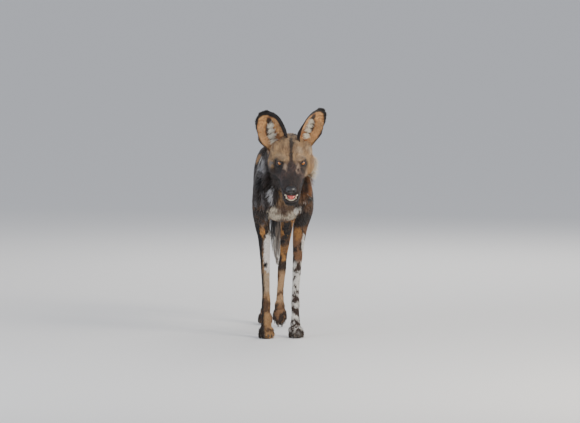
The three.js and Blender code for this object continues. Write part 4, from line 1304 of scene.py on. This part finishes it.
add("teeth_upper", [moved(HEAD, f) for f in tooth_row(-184, 17, -1, -42, 16)], tooth_finish, "face_fur")
add("teeth_lower", [moved(HEAD @ JAW, f) for f in tooth_row(-171, 15.5, 1, -54, 16)], tooth_finish, "jaw_fur")
tongue_rows = [
    (0, -62, -60, 16, 6, 8), (0, -90, -56, 19, 7.5, 9), (0, -118, -53, 17.5, 7.5, 9),
    (0, -144, -53, 14.5, 6, 8), (0, -160, -55, 10, 3.6, 5), (0, -166, -57, 4, 1.6, 3),
]
tongue_points, tongue_faces = loft(tongue_rows, 48, 40)
groove = np.exp(-((tongue_points[:, 0] / 2.2) ** 2)) * (tongue_points[:, 2] > -56)
tongue_points[:, 2] -= 1.8 * groove
tongue_points[:, 2] += 0.25 * (noise(tongue_points, 1.6, 5) - 0.5)
add("tongue_body", [moved(HEAD @ JAW, (tongue_points, tongue_faces))], tongue_finish, "tongue", "tongue")


def edge_tube(rows, lift, radius, matrix):
    """A soft roll along the rim of a jaw, from one corner round the front to the other."""
    side = [(w, y, lift) for y, w in rows]
    line = side + [(0, rows[-1][0] - 5, lift)] + mirrored(side[::-1], -1)
    rolled = [(*place, radius, radius, radius * 0.8) for place in line]
    return moved(matrix, loft(rolled, 90, 12))


lower_rim = [(-92, 35.5), (-112, 31.5), (-138, 27.5), (-158, 23), (-172, 16.5)]
upper_rim = [(-96, 37), (-116, 34), (-142, 31), (-166, 27.5), (-184, 20)]
lips = [edge_tube(lower_rim, -54.5, 2.6, HEAD @ JAW), edge_tube(upper_rim, -45.5, 2.3, HEAD)]
add("lips", lips, lip_finish, "jaw_fur")

for name, limb in LIMBS.items():
    add(f"claws_{name}", claws(limb), claw_finish, "paw")

# Whiskers: five to a row, in three rows on each side
whisker_root, whisker_path = [], []
t = np.linspace(0, 1, 6)[:, None]
for side in (-1, 1):
    for i in range(5):
        for j in range(3):
            way = [side * rng.uniform(0.7, 1.0), rng.uniform(-0.1, 0.7), rng.uniform(-0.35, 0.15)]
            way = unit(HEAD[:3, :3] @ np.array(way))
            size = rng.uniform(22, 40)
            place = (side * (31 - 1.4 * j), -172 + 9 * i, -22 - 8 * j)
            whisker_root.append(apply(HEAD, [place])[0])
            whisker_path.append(way * size * t + np.array([0, 0, -0.16]) * size * t**2)
strands("whiskers", np.array(whisker_root), np.array(whisker_path), (0, 0, 1), 0.22, 1.0, BLACK,
        rings=6, sides=4)

FLESH = [
    "torso", "neck", "head", "lower_jaw", "tail_root", "tail_brush", "foreleg_left", "foreleg_right",
    "hindleg_left", "hindleg_right", "forepaw_left", "forepaw_right", "hindpaw_left", "hindpaw_right",
]
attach(skin, "root")
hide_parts(*FLESH)

# Floor and light
floor_mesh = bpy.data.meshes.new("floor")
floor_mesh.from_pydata([(-60, -12, 0), (60, -12, 0), (60, 60, 0), (-60, 60, 0)], [], [(0, 1, 2, 3)])
floor_mesh.materials.append(plain("floor", (0.72, 0.71, 0.69), 0.9))
floor = in_scene("floor", floor_mesh)

world = bpy.data.worlds.new("studio")
world.use_nodes = True
wire(world.node_tree.nodes["Background"], {"Color": (0.86, 0.9, 1.0, 1), "Strength": 0.75})
bpy.context.scene.world = world


def lamp(name, place, target, size, power, color):
    data = bpy.data.lights.new(name, "AREA")
    data.size = size
    data.energy = power
    data.color = color
    made = in_scene(name, data)
    made.location = place
    made.rotation_mode = "QUATERNION"
    made.rotation_quaternion = (Vector(target) - Vector(place)).to_track_quat("-Z", "Y")


lamp("key", (2.6, -3.0, 2.4), (0, -0.1, 0.4), 1.6, 170, (1.0, 0.93, 0.82))
lamp("fill", (-3.0, -2.4, 1.6), (0, 0, 0.4), 2.4, 60, (0.8, 0.88, 1.0))
lamp("back", (1.0, 3.4, 2.8), (0, 0.3, 0.4), 2.0, 90, (1.0, 0.97, 0.92))

# The camera looks along the photograph's line of sight, and the body's origin falls on ORIGIN_PIXEL
PHOTO_WIDTH, PHOTO_HEIGHT = 580, 423
ORIGIN_PIXEL = (281, 337)
PIXELS_PER_METRE = 300
DISTANCE = 28
SENSOR_WIDTH = 36
azimuth, elevation = rad(-2.5), rad(4)
level = math.cos(elevation)
back = Vector((math.sin(azimuth) * level, -math.cos(azimuth) * level, math.sin(elevation)))
right = Vector((math.cos(azimuth), math.sin(azimuth), 0))
up = back.cross(right)
to_right = (PHOTO_WIDTH / 2 - ORIGIN_PIXEL[0]) / PIXELS_PER_METRE
upwards = (ORIGIN_PIXEL[1] - PHOTO_HEIGHT / 2) / PIXELS_PER_METRE
camera_data = bpy.data.cameras.new("camera")
camera_data.sensor_width = SENSOR_WIDTH
camera_data.lens = PIXELS_PER_METRE * DISTANCE * SENSOR_WIDTH / PHOTO_WIDTH
camera_data.clip_start, camera_data.clip_end = 1, 200
camera = in_scene("camera", camera_data)
camera.rotation_mode = "QUATERNION"
camera.rotation_quaternion = (-back).to_track_quat("-Z", "Y")
camera.location = Vector(OFFSET) + right * to_right + up * upwards + back * DISTANCE
bpy.context.scene.camera = camera
